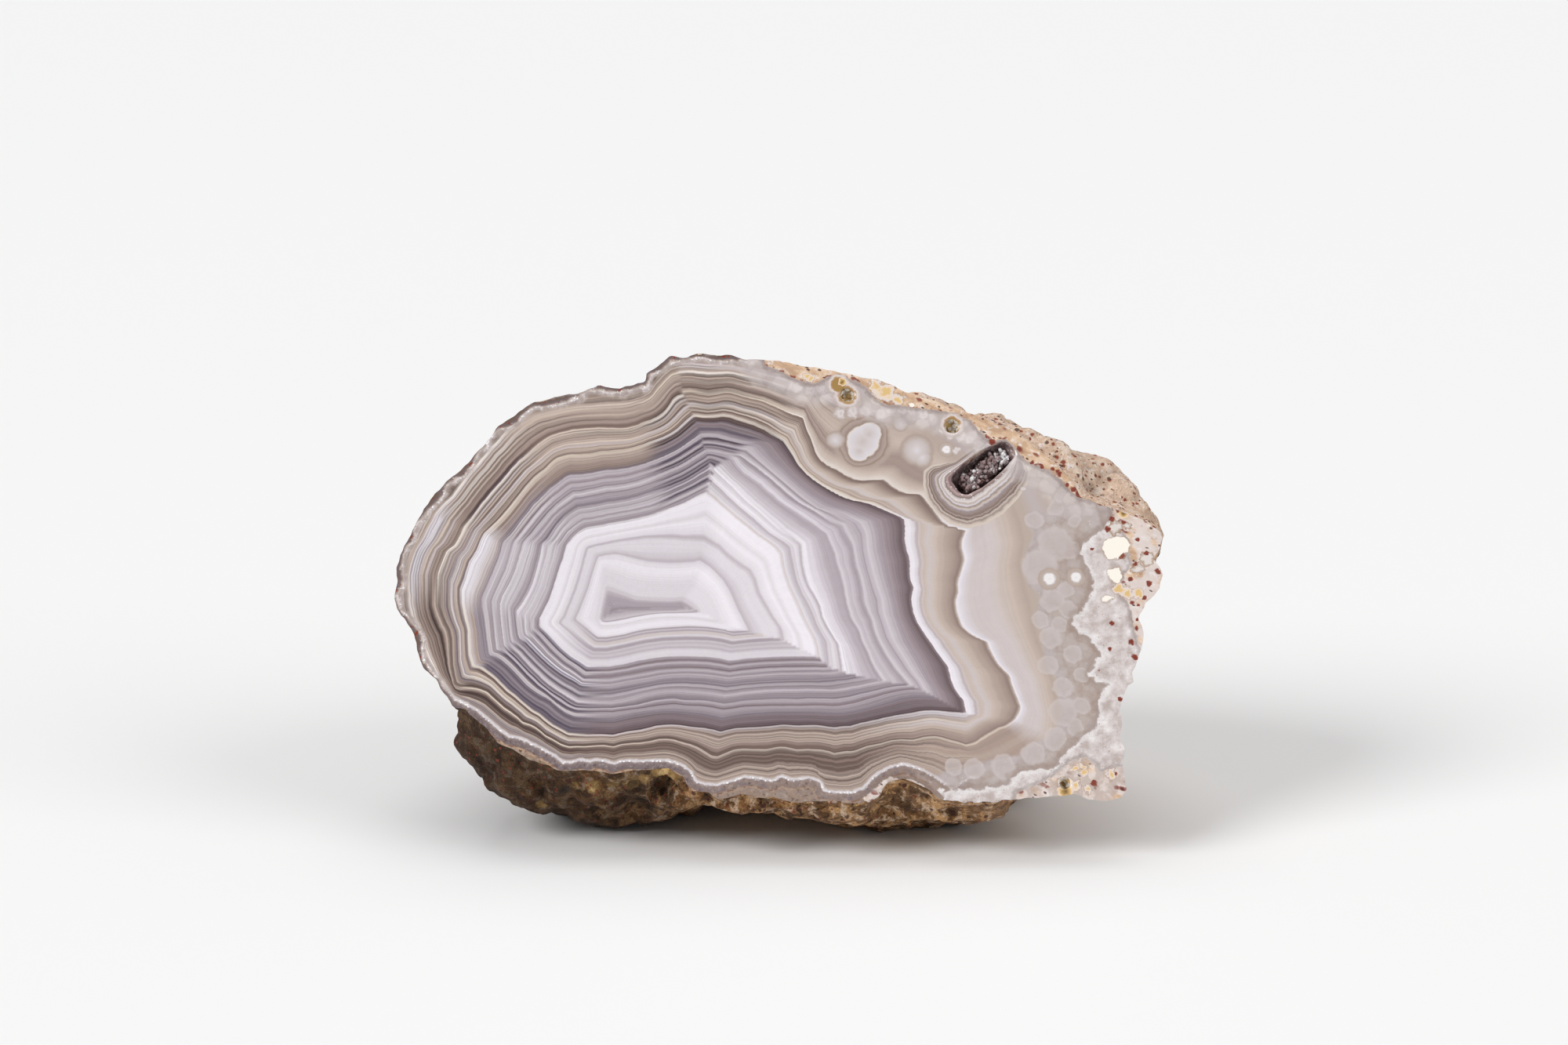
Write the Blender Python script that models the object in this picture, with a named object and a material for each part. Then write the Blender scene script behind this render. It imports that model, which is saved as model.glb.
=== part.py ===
"""Cut and polished half of an agate nodule that leans back on a small flat spot under its rind.

The stone is drawn on its polished face: u runs right, v runs up the face, and depth runs back into the
stone. All three are in millimetres until the finished shape is leaned back and set down, when it becomes
metres with +Z up, the polished face towards -Y, and the origin under the middle of the stone.
"""

import math

import bmesh
import bpy
from mathutils import Matrix, Vector, noise
from mathutils.geometry import delaunay_2d_cdt, intersect_line_line_2d

# Driving dimensions, in millimetres and degrees
MM = 0.001
FACE_LEAN = 32.0
STONE_DEPTH = 28.0
BACK_SQUARENESS = 3.0
FACE_MIDDLE = Vector((1.0, 0.0))
REST_EDGE_V = -23.1
REST_EDGE_DEPTH = 10.5
LONGEST_RIM_SIDE = 1.25
RIM_ROUGHNESS = 0.10
RIM_WAVES_PER_MM = 1.7
JOIN_DISTANCE = 1e-5
PAST_THE_RIM = 200.0

# The rim of the polished face, from the left tip down, along the bottom and back over the top
RIM_LEFT_DOWN = [
    (-36.9, -1.6), (-36.6, -2.8), (-35.6, -4.2), (-34.9, -5.6), (-34.5, -7.2), (-34.1, -8.2), (-33.6, -9.2),
    (-32.6, -10.1), (-32.0, -11.1), (-31.4, -11.8), (-30.7, -12.9),
]
RIM_BOTTOM = [
    (-29.6, -13.2), (-28.0, -14.6), (-26.4, -16.4), (-24.9, -17.2), (-23.3, -18.1), (-21.8, -18.7),
    (-20.2, -19.4), (-17.9, -19.2), (-15.2, -19.6), (-12.4, -19.2), (-9.7, -19.0), (-8.2, -19.7),
    (-7.4, -21.1), (-5.8, -21.2), (-4.7, -21.8), (-2.7, -21.1), (-1.2, -21.3), (1.6, -21.8), (3.9, -22.1),
    (6.6, -22.5), (9.3, -22.5), (10.5, -21.9), (11.7, -20.5), (12.8, -20.2), (14.2, -20.4), (15.6, -21.2),
    (16.7, -22.1), (18.7, -22.5), (21.8, -22.5), (24.9, -22.1), (28.4, -21.8), (30.0, -21.7), (31.1, -22.1),
    (32.7, -22.4), (34.4, -22.0), (34.9, -21.2),
]
RIM_RIGHT_UP = [
    (34.6, -18.7), (34.8, -17.0), (34.4, -16.0), (34.6, -14.6), (34.4, -13.2), (35.0, -11.4), (35.3, -10.7),
    (35.9, -10.4), (35.8, -9.3), (36.4, -7.7), (37.0, -5.9), (36.9, -4.7), (36.5, -4.0), (37.2, -2.4),
    (38.1, -1.6), (38.6, -0.8), (38.9, 0.6), (38.6, 1.5), (38.1, 2.2), (38.7, 3.4), (39.0, 4.3), (38.9, 5.0),
]
RIM_SHOULDER = [
    (37.5, 6.1), (34.8, 7.2), (32.8, 7.9), (31.0, 8.6), (29.8, 10.2), (28.4, 11.7), (26.9, 13.1),
    (25.6, 14.4), (24.1, 15.7), (22.3, 16.5), (20.7, 17.1), (19.2, 17.7),
]
RIM_TOP = [
    (17.5, 18.3), (16.0, 19.0), (14.4, 19.4), (13.2, 19.9), (10.9, 21.0), (9.3, 21.2), (6.2, 21.9),
    (2.7, 22.5), (0.8, 23.0), (-2.3, 23.1), (-4.3, 23.6), (-7.0, 23.7), (-8.2, 23.3), (-9.9, 23.4),
    (-11.0, 22.5), (-12.2, 21.6), (-12.4, 20.8), (-13.1, 20.6), (-14.9, 20.0), (-17.1, 20.3),
    (-19.1, 19.5), (-21.4, 19.1), (-23.7, 18.4), (-25.5, 17.1), (-27.1, 15.8), (-28.2, 14.2),
    (-29.4, 12.8),
]
RIM_LEFT_UP = [
    (-30.7, 11.4), (-32.0, 10.3), (-33.1, 9.0), (-34.0, 7.7), (-34.6, 6.5), (-35.2, 5.3), (-35.9, 3.9),
    (-36.4, 2.6), (-36.7, 1.3), (-36.6, 0.0),
]

# Depths of the rings that build the side of the stone
RING_DEPTHS = [0.0, 0.7, 1.7, 3.0, 4.5, 6.2, 8.0, 9.8, 11.6, 13.6, 15.8, 18.0, 20.0, 21.8]
BACK_GRID = 1.9
BACK_GRID_CLEARANCE = 0.6

# Each swell: middle and half width along the rim as an angle, height, and depth where it is fullest
SHOULDER_TIP = (15.0, 13.0, 2.7, 8.0)
SHOULDER_BACK = (26.0, 26.0, 2.6, 8.0)
LEFT_FOOT = (-137.0, 28.0, 3.9, 10.5)
RIGHT_FOOT = (-64.0, 22.0, 1.7, 9.0)
RIGHT_HEEL = (-29.0, 17.0, -5.0, 12.0)
RIGHT_SIDE = (-6.0, 15.0, -3.0, 11.0)
LEFT_SIDE = (-176.0, 22.0, -3.6, 12.0)
TOP_KNOB = (51.0, 6.0, 1.3, 3.6)
SWELLS = [
    SHOULDER_TIP, SHOULDER_BACK, LEFT_FOOT, RIGHT_FOOT, RIGHT_HEEL, RIGHT_SIDE, LEFT_SIDE, TOP_KNOB,
]

# How much of the swells is lost on the way to the deepest ring
SWELL_FULL_DEPTH = 12.0
SWELL_LOSS = 0.55

# How the rim's notches fade behind the face: neighbours averaged to each side, and the depth of the fade
NOTCH_SMOOTHING = 6
NOTCH_FADE_DEPTH = 5.0

# The shallow arch between the two front feet
ARCH_MIDDLE = -1.8
ARCH_HALF_WIDTH = 6.2
ARCH_RISE = 2.4
ARCH_START_DEPTH = 5.0
ARCH_FULL_DEPTH = 12.0

# Rind relief: size of the lumps and how far they stand out
LUMPS = [(9.0, 0.80), (4.2, 0.50), (2.0, 0.30)]
LEDGE_SIZE = 5.5
LEDGE_HEIGHT = 0.55
LEDGE_EDGE = (0.02, 0.16)
LEDGE_SHIFT = Vector((7.0, 3.0, 1.0))
PIT_CELL = 5.0
PIT_REACH = 0.42
PIT_DEPTH = 0.9
PIT_FLAT_FLOOR = 0.2
RELIEF_START_DEPTH = 1.6

# Single deep pits seen in the rind under the face: u, depth, radius and how deep they go
RIND_PITS = [
    (-10.2, 2.6, 1.9, 2.0), (-18.8, 5.5, 1.3, 1.2), (-14.6, 3.4, 1.2, 0.8), (-22.8, 3.0, 1.2, 0.7),
    (-27.2, 4.8, 1.4, 0.7), (11.4, 4.4, 1.6, 0.9), (17.6, 3.6, 1.1, 0.6), (1.4, 3.2, 1.2, 0.7),
]

# The oblong hollow of the polished face that holds the crystals, and the round ones near the rind
SLOT_MIDDLE = Vector((21.55, 11.8))
SLOT_LENGTH = 7.1
SLOT_WIDTH = 2.5
SLOT_TURN = 37.5
SLOT_DEPTH = 2.6
SLOT_CORNER = 0.45
SLOT_FLOOR_SHARE = 0.86
ROUND_HOLLOWS = [
    ((18.3, 16.0), 0.85, 0.8), ((7.9, 19.3), 0.75, 0.6), ((28.9, -20.6), 0.6, 0.7),
]
HOLLOW_SIDES = 9
HOLLOW_FLOOR_SHARE = 0.55
HOLLOW_UNEVENNESS = 0.2

# The crystal crust on the floor of the oblong hollow
CRUST_GAP = 0.3
CRUST_ROWS = 3
CRUST_COLUMNS = 9
CRUST_BED = 0.55
CRYSTAL_HEIGHTS = (0.45, 1.05)
CRYSTAL_WANDER = 0.16
WANDER_PATTERN = Vector((1.9, 2.3))
HEIGHT_PATTERN = Vector((3.1, 4.7))

# Edges that turn by more than this are shaded sharp
SHARP_EDGE = 30.0

# Colours, as linear red, green and blue
BANDED_GREY = (0.56, 0.50, 0.50)
CRYSTAL_BROWN = (0.16, 0.11, 0.10)


def clear_scene():
    """Take every object out of the scene."""
    for item in list(bpy.data.objects):
        bpy.data.objects.remove(item, do_unlink=True)


def eased(start, end, value):
    """0 below start, 1 above end and a smooth rise between them."""
    share = min(max((value - start) / (end - start), 0.0), 1.0)
    return share * share * (3.0 - 2.0 * share)


def rough_rim():
    """The rim's own points, with long sides parted and the new points a little out of line."""
    corners = RIM_LEFT_DOWN + RIM_BOTTOM + RIM_RIGHT_UP + RIM_SHOULDER + RIM_TOP + RIM_LEFT_UP
    rim = []
    for here, there in zip(corners, corners[1:] + corners[:1]):
        start = Vector(here)
        side = Vector(there) - start
        parts = max(1, math.ceil(side.length / LONGEST_RIM_SIDE))
        across = Vector((-side.y, side.x)).normalized()
        for part in range(parts):
            point = start + side * (part / parts)
            if part:
                point += across * RIM_ROUGHNESS * noise.noise((point * RIM_WAVES_PER_MM).to_3d())
            rim.append(point)
    return rim


def without_notches(rim):
    """The rim with each point moved to the middle of its neighbours, so that small notches are gone."""
    count = len(rim)
    smooth = []
    for index in range(count):
        near = [rim[(index + step) % count] for step in range(-NOTCH_SMOOTHING, NOTCH_SMOOTHING + 1)]
        smooth.append(sum(near, Vector((0.0, 0.0))) / len(near))
    return smooth


def outward_directions(rim):
    """The outward direction at each rim point, averaged over its neighbours."""
    reach = 2
    count = len(rim)
    directions = []
    for index in range(count):
        along = rim[(index + reach) % count] - rim[(index - reach) % count]
        directions.append(Vector((along.y, -along.x)).normalized())
    return directions


def swell_height(point, depth):
    """How far the side of the stone stands out past its plain rounded form."""
    angle = math.degrees(math.atan2(point.y - FACE_MIDDLE.y, point.x - FACE_MIDDLE.x))
    total = 0.0
    for middle, half_width, height, full_depth in SWELLS:
        turn = abs((angle - middle + 180.0) % 360.0 - 180.0)
        if turn < half_width:
            along = eased(0.0, 0.5, 1.0 - turn / half_width)
            rise = min(depth / full_depth, 1.0)
            total += height * along * rise * (2.0 - rise)
    total *= 1.0 - SWELL_LOSS * eased(SWELL_FULL_DEPTH, RING_DEPTHS[-1], depth)
    if point.y < FACE_MIDDLE.y:
        across = abs(point.x - ARCH_MIDDLE) / ARCH_HALF_WIDTH
        if across < 1.0:
            arch = 0.5 + 0.5 * math.cos(math.pi * across)
            total -= ARCH_RISE * arch * eased(ARCH_START_DEPTH, ARCH_FULL_DEPTH, depth)
    return total


def ring_share(depth):
    """The size of the ring at this depth, as a share of the rim."""
    return (1.0 - (depth / STONE_DEPTH) ** BACK_SQUARENESS) ** (1.0 / BACK_SQUARENESS)


def side_ring(rim, smooth, outward, depth):
    """One closed ring of the stone's side."""
    fade = eased(0.0, NOTCH_FADE_DEPTH, depth)
    ring = []
    for sharp_point, smooth_point, direction in zip(rim, smooth, outward):
        point = sharp_point.lerp(smooth_point, fade)
        place = FACE_MIDDLE + (point - FACE_MIDDLE) * ring_share(depth)
        ring.append(place + direction * swell_height(smooth_point, depth))
    rounding = eased(NOTCH_FADE_DEPTH, SWELL_FULL_DEPTH, depth)
    return [rough.lerp(even, rounding) for rough, even in zip(ring, without_notches(ring))]


def inside(point, outline):
    """Whether the point lies inside the closed outline."""
    crossings = 0
    for here, there in zip(outline, outline[1:] + outline[:1]):
        if (here.y > point.y) != (there.y > point.y):
            share = (point.y - here.y) / (there.y - here.y)
            crossings += point.x < here.x + share * (there.x - here.x)
    return crossings % 2 == 1


def reach_of_ring(point, ring):
    """How far the point lies from the face's middle, as a share of the way to the ring."""
    offset = point - FACE_MIDDLE
    if offset.length < JOIN_DISTANCE:
        return 0.0
    far = FACE_MIDDLE + offset.normalized() * PAST_THE_RIM
    for here, there in zip(ring, ring[1:] + ring[:1]):
        crossing = intersect_line_line_2d(FACE_MIDDLE, far, here, there)
        if crossing is not None:
            return offset.length / (crossing - FACE_MIDDLE).length
    return 1.0


def back_points(ring):
    """Points spread evenly inside the deepest ring, clear of it."""
    left = min(point.x for point in ring)
    right = max(point.x for point in ring)
    low = min(point.y for point in ring)
    high = max(point.y for point in ring)
    row_gap = BACK_GRID * math.sqrt(0.75)
    points = []
    for row in range(math.ceil((high - low) / row_gap)):
        for column in range(math.ceil((right - left) / BACK_GRID) + 1):
            shift = 0.5 * (row % 2)
            point = Vector((left + (column + shift) * BACK_GRID, low + row * row_gap))
            clear = min((point - corner).length for corner in ring) > BACK_GRID_CLEARANCE * BACK_GRID
            if clear and inside(point, ring):
                points.append(point)
    return points


def loop_edges(start, count):
    """The edges of a closed loop of points that begins at this index."""
    return [(start + step, start + (step + 1) % count) for step in range(count)]


def slot_outline(length, width, corner):
    """The oblong hollow's outline on the face, with clipped corners."""
    half_length = 0.5 * length
    half_width = 0.5 * width
    clipped = [
        (half_length, -half_width + corner), (half_length, half_width - corner),
        (half_length - corner, half_width), (-half_length + corner, half_width),
        (-half_length, half_width - corner), (-half_length, -half_width + corner),
        (-half_length + corner, -half_width), (half_length - corner, -half_width),
    ]
    turn = Matrix.Rotation(math.radians(SLOT_TURN), 2)
    return [SLOT_MIDDLE + turn @ Vector(point) for point in clipped]


def round_outline(middle, radius):
    """A small hollow's outline on the face, a little uneven."""
    outline = []
    for side in range(HOLLOW_SIDES):
        angle = 2.0 * math.pi * side / HOLLOW_SIDES
        uneven = 1.0 + HOLLOW_UNEVENNESS * noise.noise(Vector((middle[0], middle[1], 3.0 * side)))
        outline.append(Vector(middle) + radius * uneven * Vector((math.cos(angle), math.sin(angle))))
    return outline


def add_ring(shape, ring, depth):
    """Add one ring of vertices at this depth behind the face."""
    return [shape.verts.new((point.x, point.y, -depth)) for point in ring]


def bridge(shape, upper, lower):
    """Join two rings of the same count with quads."""
    count = len(upper)
    for index in range(count):
        following = (index + 1) % count
        shape.faces.new((upper[index], upper[following], lower[following], lower[index]))


def fill_flat(shape, outer, holes, spread):
    """Fill between an outer ring, hole rings and loose inner vertices with triangles."""
    vertices = list(outer)
    edges = loop_edges(0, len(outer))
    for hole in holes:
        edges += loop_edges(len(vertices), len(hole))
        vertices += hole
    vertices += spread
    flat = [vertex.co.to_2d() for vertex in vertices]
    outlines = [[vertex.co.to_2d() for vertex in hole] for hole in holes]
    only_inside = 1
    triangles = delaunay_2d_cdt(flat, edges, [], only_inside, JOIN_DISTANCE)[2]
    for corners in triangles:
        middle = sum((flat[corner] for corner in corners), Vector((0.0, 0.0))) / 3.0
        if not any(inside(middle, outline) for outline in outlines):
            shape.faces.new([vertices[corner] for corner in corners])


def sink_hollow(shape, rim_ring, middle, depth, floor_share):
    """Give a hole of the face its sloping wall and its floor."""
    floor = [Vector(middle) + (vertex.co.to_2d() - Vector(middle)) * floor_share for vertex in rim_ring]
    floor_ring = add_ring(shape, floor, depth)
    bridge(shape, rim_ring, floor_ring)
    shape.faces.new(floor_ring)


def relief_height(place, depth):
    """How far the rind stands out from its smooth form at this place."""
    height = 0.0
    for size, amount in LUMPS:
        height += amount * noise.noise(place / size)
    ledge = noise.noise(Vector((place.x, place.y, 2.0 * place.z)) / LEDGE_SIZE + LEDGE_SHIFT)
    height += LEDGE_HEIGHT * (eased(*LEDGE_EDGE, ledge) - 0.5)
    nearest = noise.voronoi(place / PIT_CELL)[0][0]
    height -= PIT_DEPTH * (1.0 - eased(0.0, PIT_REACH, nearest))
    height -= single_pits(place, depth)
    return height * eased(0.0, RELIEF_START_DEPTH, depth)


def single_pits(place, depth):
    """How deep the named pits under the face are at this place."""
    sunk = 0.0
    if place.y < FACE_MIDDLE.y:
        for across, pit_depth, radius, deep in RIND_PITS:
            distance = math.hypot(place.x - across, depth - pit_depth) / radius
            sunk += deep * (1.0 - eased(PIT_FLAT_FLOOR, 1.0, distance))
    return sunk


def roughen(shape, rind):
    """Move the rind's vertices in and out along their own normals."""
    shape.normal_update()
    moves = []
    for vertex in rind:
        depth = -vertex.co.z
        moves.append(vertex.normal * relief_height(vertex.co, depth))
    for vertex, move in zip(rind, moves):
        vertex.co += move


def lean_back():
    """The turn that leans the face back and sets its foot towards the viewer."""
    return Matrix.Rotation(math.radians(90.0 - FACE_LEAN), 4, "X")


def rest_height():
    """The height of the flat spot below the face's middle, once the stone leans back."""
    return (lean_back() @ Vector((0.0, REST_EDGE_V, -REST_EDGE_DEPTH))).z


def grind_flat_spot(shape):
    """Press every vertex that lies below the resting plane up into it."""
    ground = rest_height()
    for vertex in shape.verts:
        vertex.co.z = max(vertex.co.z, ground)


def stone_shape():
    """The stone, leaned back and rough, still in millimetres."""
    shape = bmesh.new()
    rim = rough_rim()
    smooth = without_notches(rim)
    outward = outward_directions(smooth)
    rings = []
    for depth in RING_DEPTHS:
        rings.append(add_ring(shape, side_ring(rim, smooth, outward, depth), depth))
    for upper, lower in zip(rings, rings[1:]):
        bridge(shape, upper, lower)

    deepest = [vertex.co.to_2d() for vertex in rings[-1]]
    last_share = ring_share(RING_DEPTHS[-1])
    back = []
    for point in back_points(deepest):
        share = reach_of_ring(point, deepest) * last_share
        depth = STONE_DEPTH * (1.0 - share**BACK_SQUARENESS) ** (1.0 / BACK_SQUARENESS)
        back.append(shape.verts.new((point.x, point.y, -depth)))
    fill_flat(shape, rings[-1], [], back)

    slot_ring = add_ring(shape, slot_outline(SLOT_LENGTH, SLOT_WIDTH, SLOT_CORNER), 0.0)
    round_rings = [add_ring(shape, round_outline(middle, radius), 0.0) for middle, radius, _ in ROUND_HOLLOWS]
    fill_flat(shape, rings[0], [slot_ring] + round_rings, [])
    bmesh.ops.recalc_face_normals(shape, faces=shape.faces)
    roughen(shape, [vertex for ring in rings[1:] for vertex in ring] + back)

    sink_hollow(shape, slot_ring, SLOT_MIDDLE, SLOT_DEPTH, SLOT_FLOOR_SHARE)
    for ring, (middle, _, depth) in zip(round_rings, ROUND_HOLLOWS):
        sink_hollow(shape, ring, middle, depth, HOLLOW_FLOOR_SHARE)
    bmesh.ops.recalc_face_normals(shape, faces=shape.faces)
    shape.transform(lean_back())
    grind_flat_spot(shape)
    return shape


def crust_shape():
    """The bed of small pointed crystals that lies in the oblong hollow."""
    shape = bmesh.new()
    floor_length = SLOT_LENGTH * SLOT_FLOOR_SHARE - 2.0 * CRUST_GAP
    floor_width = SLOT_WIDTH * SLOT_FLOOR_SHARE - 2.0 * CRUST_GAP
    bottom = -SLOT_DEPTH + CRUST_GAP
    bed = bottom + CRUST_BED

    def place(column, row, height, wander):
        """A grid corner of the bed, wandering a little where it isn't on the border."""
        x = floor_length * (column / CRUST_COLUMNS - 0.5)
        y = floor_width * (row / CRUST_ROWS - 0.5)
        shake = noise.noise_vector((WANDER_PATTERN * Vector((column, row))).to_3d())
        return Vector((x + wander * shake.x, y + wander * shake.y, height))

    grid = []
    for row in range(CRUST_ROWS + 1):
        line = []
        for column in range(CRUST_COLUMNS + 1):
            border = row in (0, CRUST_ROWS) or column in (0, CRUST_COLUMNS)
            line.append(shape.verts.new(place(column, row, bed, 0.0 if border else CRYSTAL_WANDER)))
        grid.append(line)
    shortest, tallest = CRYSTAL_HEIGHTS
    for row, (near, far) in enumerate(zip(grid, grid[1:])):
        for column in range(CRUST_COLUMNS):
            chance = 0.5 + 0.5 * noise.noise((HEIGHT_PATTERN * Vector((column, row))).to_3d())
            tip = shape.verts.new(place(column + 0.5, row + 0.5, bed, CRYSTAL_WANDER))
            tip.co.z += shortest + (tallest - shortest) * chance
            corners = [near[column], near[column + 1], far[column + 1], far[column]]
            for here, there in zip(corners, corners[1:] + corners[:1]):
                shape.faces.new((here, there, tip))

    right_side = [line[-1] for line in grid[1:-1]]
    left_side = [line[0] for line in grid[-2:0:-1]]
    border = grid[0] + right_side + grid[-1][::-1] + left_side
    underside = [shape.verts.new((vertex.co.x, vertex.co.y, bottom)) for vertex in border]
    bridge(shape, border, underside)
    shape.faces.new(underside)
    bmesh.ops.recalc_face_normals(shape, faces=shape.faces)
    middle = Matrix.Translation(SLOT_MIDDLE.to_3d())
    shape.transform(lean_back() @ middle @ Matrix.Rotation(math.radians(SLOT_TURN), 4, "Z"))
    return shape


def set_down(shapes):
    """Move all the shapes so that the origin lies under the first one's middle, and turn them into metres."""
    places = [vertex.co for vertex in shapes[0].verts]
    middle_x = 0.5 * (min(co.x for co in places) + max(co.x for co in places))
    middle_y = 0.5 * (min(co.y for co in places) + max(co.y for co in places))
    lowest = min(co.z for co in places)
    move = Matrix.Translation((-middle_x, -middle_y, -lowest))
    for shape in shapes:
        shape.transform(Matrix.Scale(MM, 4) @ move)


def plain_material(name, colour, roughness):
    """A Principled material of one colour."""
    material = bpy.data.materials.new(name)
    material.use_nodes = True
    surface = material.node_tree.nodes["Principled BSDF"]
    surface.inputs["Base Color"].default_value = (*colour, 1.0)
    surface.inputs["Roughness"].default_value = roughness
    surface.inputs["Metallic"].default_value = 0.0
    return material


def add_object(name, shape, material):
    """Make the finished shape one named object, smooth but for its sharp edges."""
    mesh = bpy.data.meshes.new(name)
    bmesh.ops.triangulate(shape, faces=shape.faces)
    shape.to_mesh(mesh)
    shape.free()
    mesh.shade_smooth()
    mesh.set_sharp_from_angle(angle=math.radians(SHARP_EDGE))
    mesh.materials.append(material)
    item = bpy.data.objects.new(name, mesh)
    bpy.context.scene.collection.objects.link(item)
    return item


def main():
    """Build the stone and the crystal crust in its hollow."""
    clear_scene()
    stone = stone_shape()
    crust = crust_shape()
    set_down([stone, crust])
    add_object("agate_stone", stone, plain_material("banded_agate", BANDED_GREY, 0.25))
    add_object("druse_crust", crust, plain_material("druse", CRYSTAL_BROWN, 0.30))


main()
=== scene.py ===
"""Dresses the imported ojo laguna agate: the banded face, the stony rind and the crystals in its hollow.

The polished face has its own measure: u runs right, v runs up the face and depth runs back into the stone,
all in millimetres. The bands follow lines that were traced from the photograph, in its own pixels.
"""

import logging
import math
import random
from dataclasses import dataclass, field
from enum import Enum
from typing import Callable, Sequence, Union

import bmesh
import bpy
import numpy as np
from mathutils import Matrix, Vector, noise
from mathutils.bvhtree import BVHTree
from mathutils.geometry import delaunay_2d_cdt
from mathutils.kdtree import KDTree

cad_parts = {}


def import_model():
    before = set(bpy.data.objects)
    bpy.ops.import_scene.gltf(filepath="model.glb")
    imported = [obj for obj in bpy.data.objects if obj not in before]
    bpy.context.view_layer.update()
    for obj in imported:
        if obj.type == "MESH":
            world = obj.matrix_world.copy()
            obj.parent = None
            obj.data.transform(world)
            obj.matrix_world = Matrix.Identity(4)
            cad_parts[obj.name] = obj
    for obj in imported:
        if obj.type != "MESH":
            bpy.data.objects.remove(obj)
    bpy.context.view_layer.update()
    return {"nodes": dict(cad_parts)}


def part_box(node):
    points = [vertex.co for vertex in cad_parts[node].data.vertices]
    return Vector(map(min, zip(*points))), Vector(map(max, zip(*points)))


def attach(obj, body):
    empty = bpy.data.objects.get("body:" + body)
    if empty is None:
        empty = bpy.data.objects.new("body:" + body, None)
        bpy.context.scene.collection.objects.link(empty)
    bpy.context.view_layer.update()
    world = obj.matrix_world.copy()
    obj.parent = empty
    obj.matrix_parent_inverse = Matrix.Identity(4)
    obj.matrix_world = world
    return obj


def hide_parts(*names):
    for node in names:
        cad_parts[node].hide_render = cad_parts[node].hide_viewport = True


MM = 0.001
SAME_PLACE = 1e-7
OUTSIDE_MM_A_LEVEL = 3.0
log = logging.getLogger("agate")

PhotoPoint = tuple[float, float]
Stretch = list[PhotoPoint]


def chained(parts: list[Stretch]) -> list[Stretch]:
    """Start each stretch of a line at the last point of the one before it.

    Args:
        parts: the stretches' further points.

    Returns:
        The whole stretches.
    """
    line: list[Stretch] = []
    last: Stretch = []
    for part in parts:
        line.append(last + part)
        last = line[-1][-1:]
    return line


# The bands' lines, in photo pixels. Each is 13 stretches between the same 14 turning places, from the lower
# right corner along the bottom, round the left tip and over the top.
SPARKLE_LINE = chained([
    [(1345, 940), (1330, 965), (1300, 985), (1265, 990), (1235, 985)],
    [(1210, 1000), (1190, 985), (1170, 975), (1150, 969), (1130, 974), (1112, 985), (1100, 999),
     (1085, 1004), (1065, 1004), (1050, 1002), (1045, 990), (1030, 986), (1010, 989), (998, 984), (985, 990),
     (970, 987), (950, 985), (935, 990), (915, 995)],
    [(900, 994), (889, 990), (884, 980), (876, 973), (866, 968), (853, 964.8), (835, 965), (820, 966),
     (805, 965), (795, 966), (787, 969)],
    [(777, 966), (765, 964), (755, 966), (745, 964), (735, 967)],
    [(723, 967), (710, 958), (697, 951), (683, 944), (670, 938), (655, 935), (643, 927), (630, 916),
     (615, 904), (600, 895), (585, 889)],
    [(572, 875), (560, 862), (553, 850), (545, 838), (538, 820), (530, 803), (524, 788), (519, 770),
     (517, 750), (516.5, 735)],
    [(518, 720), (522, 705), (530, 690), (540, 668), (548, 652)],
    [(558, 640), (570, 630), (582, 612), (592, 598), (603, 585), (615, 570), (628, 556), (640, 540),
     (655, 528), (672, 519), (690, 515), (708, 511)],
    [(725, 507), (745, 506), (765, 503), (785, 502), (800, 501), (815, 497), (825, 491), (832, 478),
     (842, 468), (852, 460), (862, 457)],
    [(880, 456), (900, 458), (920, 459), (936, 460)],
    [(960, 465), (985, 471), (1010, 477), (1035, 484)],
    [(1055, 505), (1085, 520), (1120, 520), (1160, 520), (1190, 530), (1225, 560), (1255, 600), (1290, 640)],
    [(1300, 665), (1305, 690), (1300, 715), (1303, 740), (1310, 765), (1315, 790), (1320, 815), (1330, 840),
     (1340, 870), (1345, 905), (1345, 940)],
])
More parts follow.
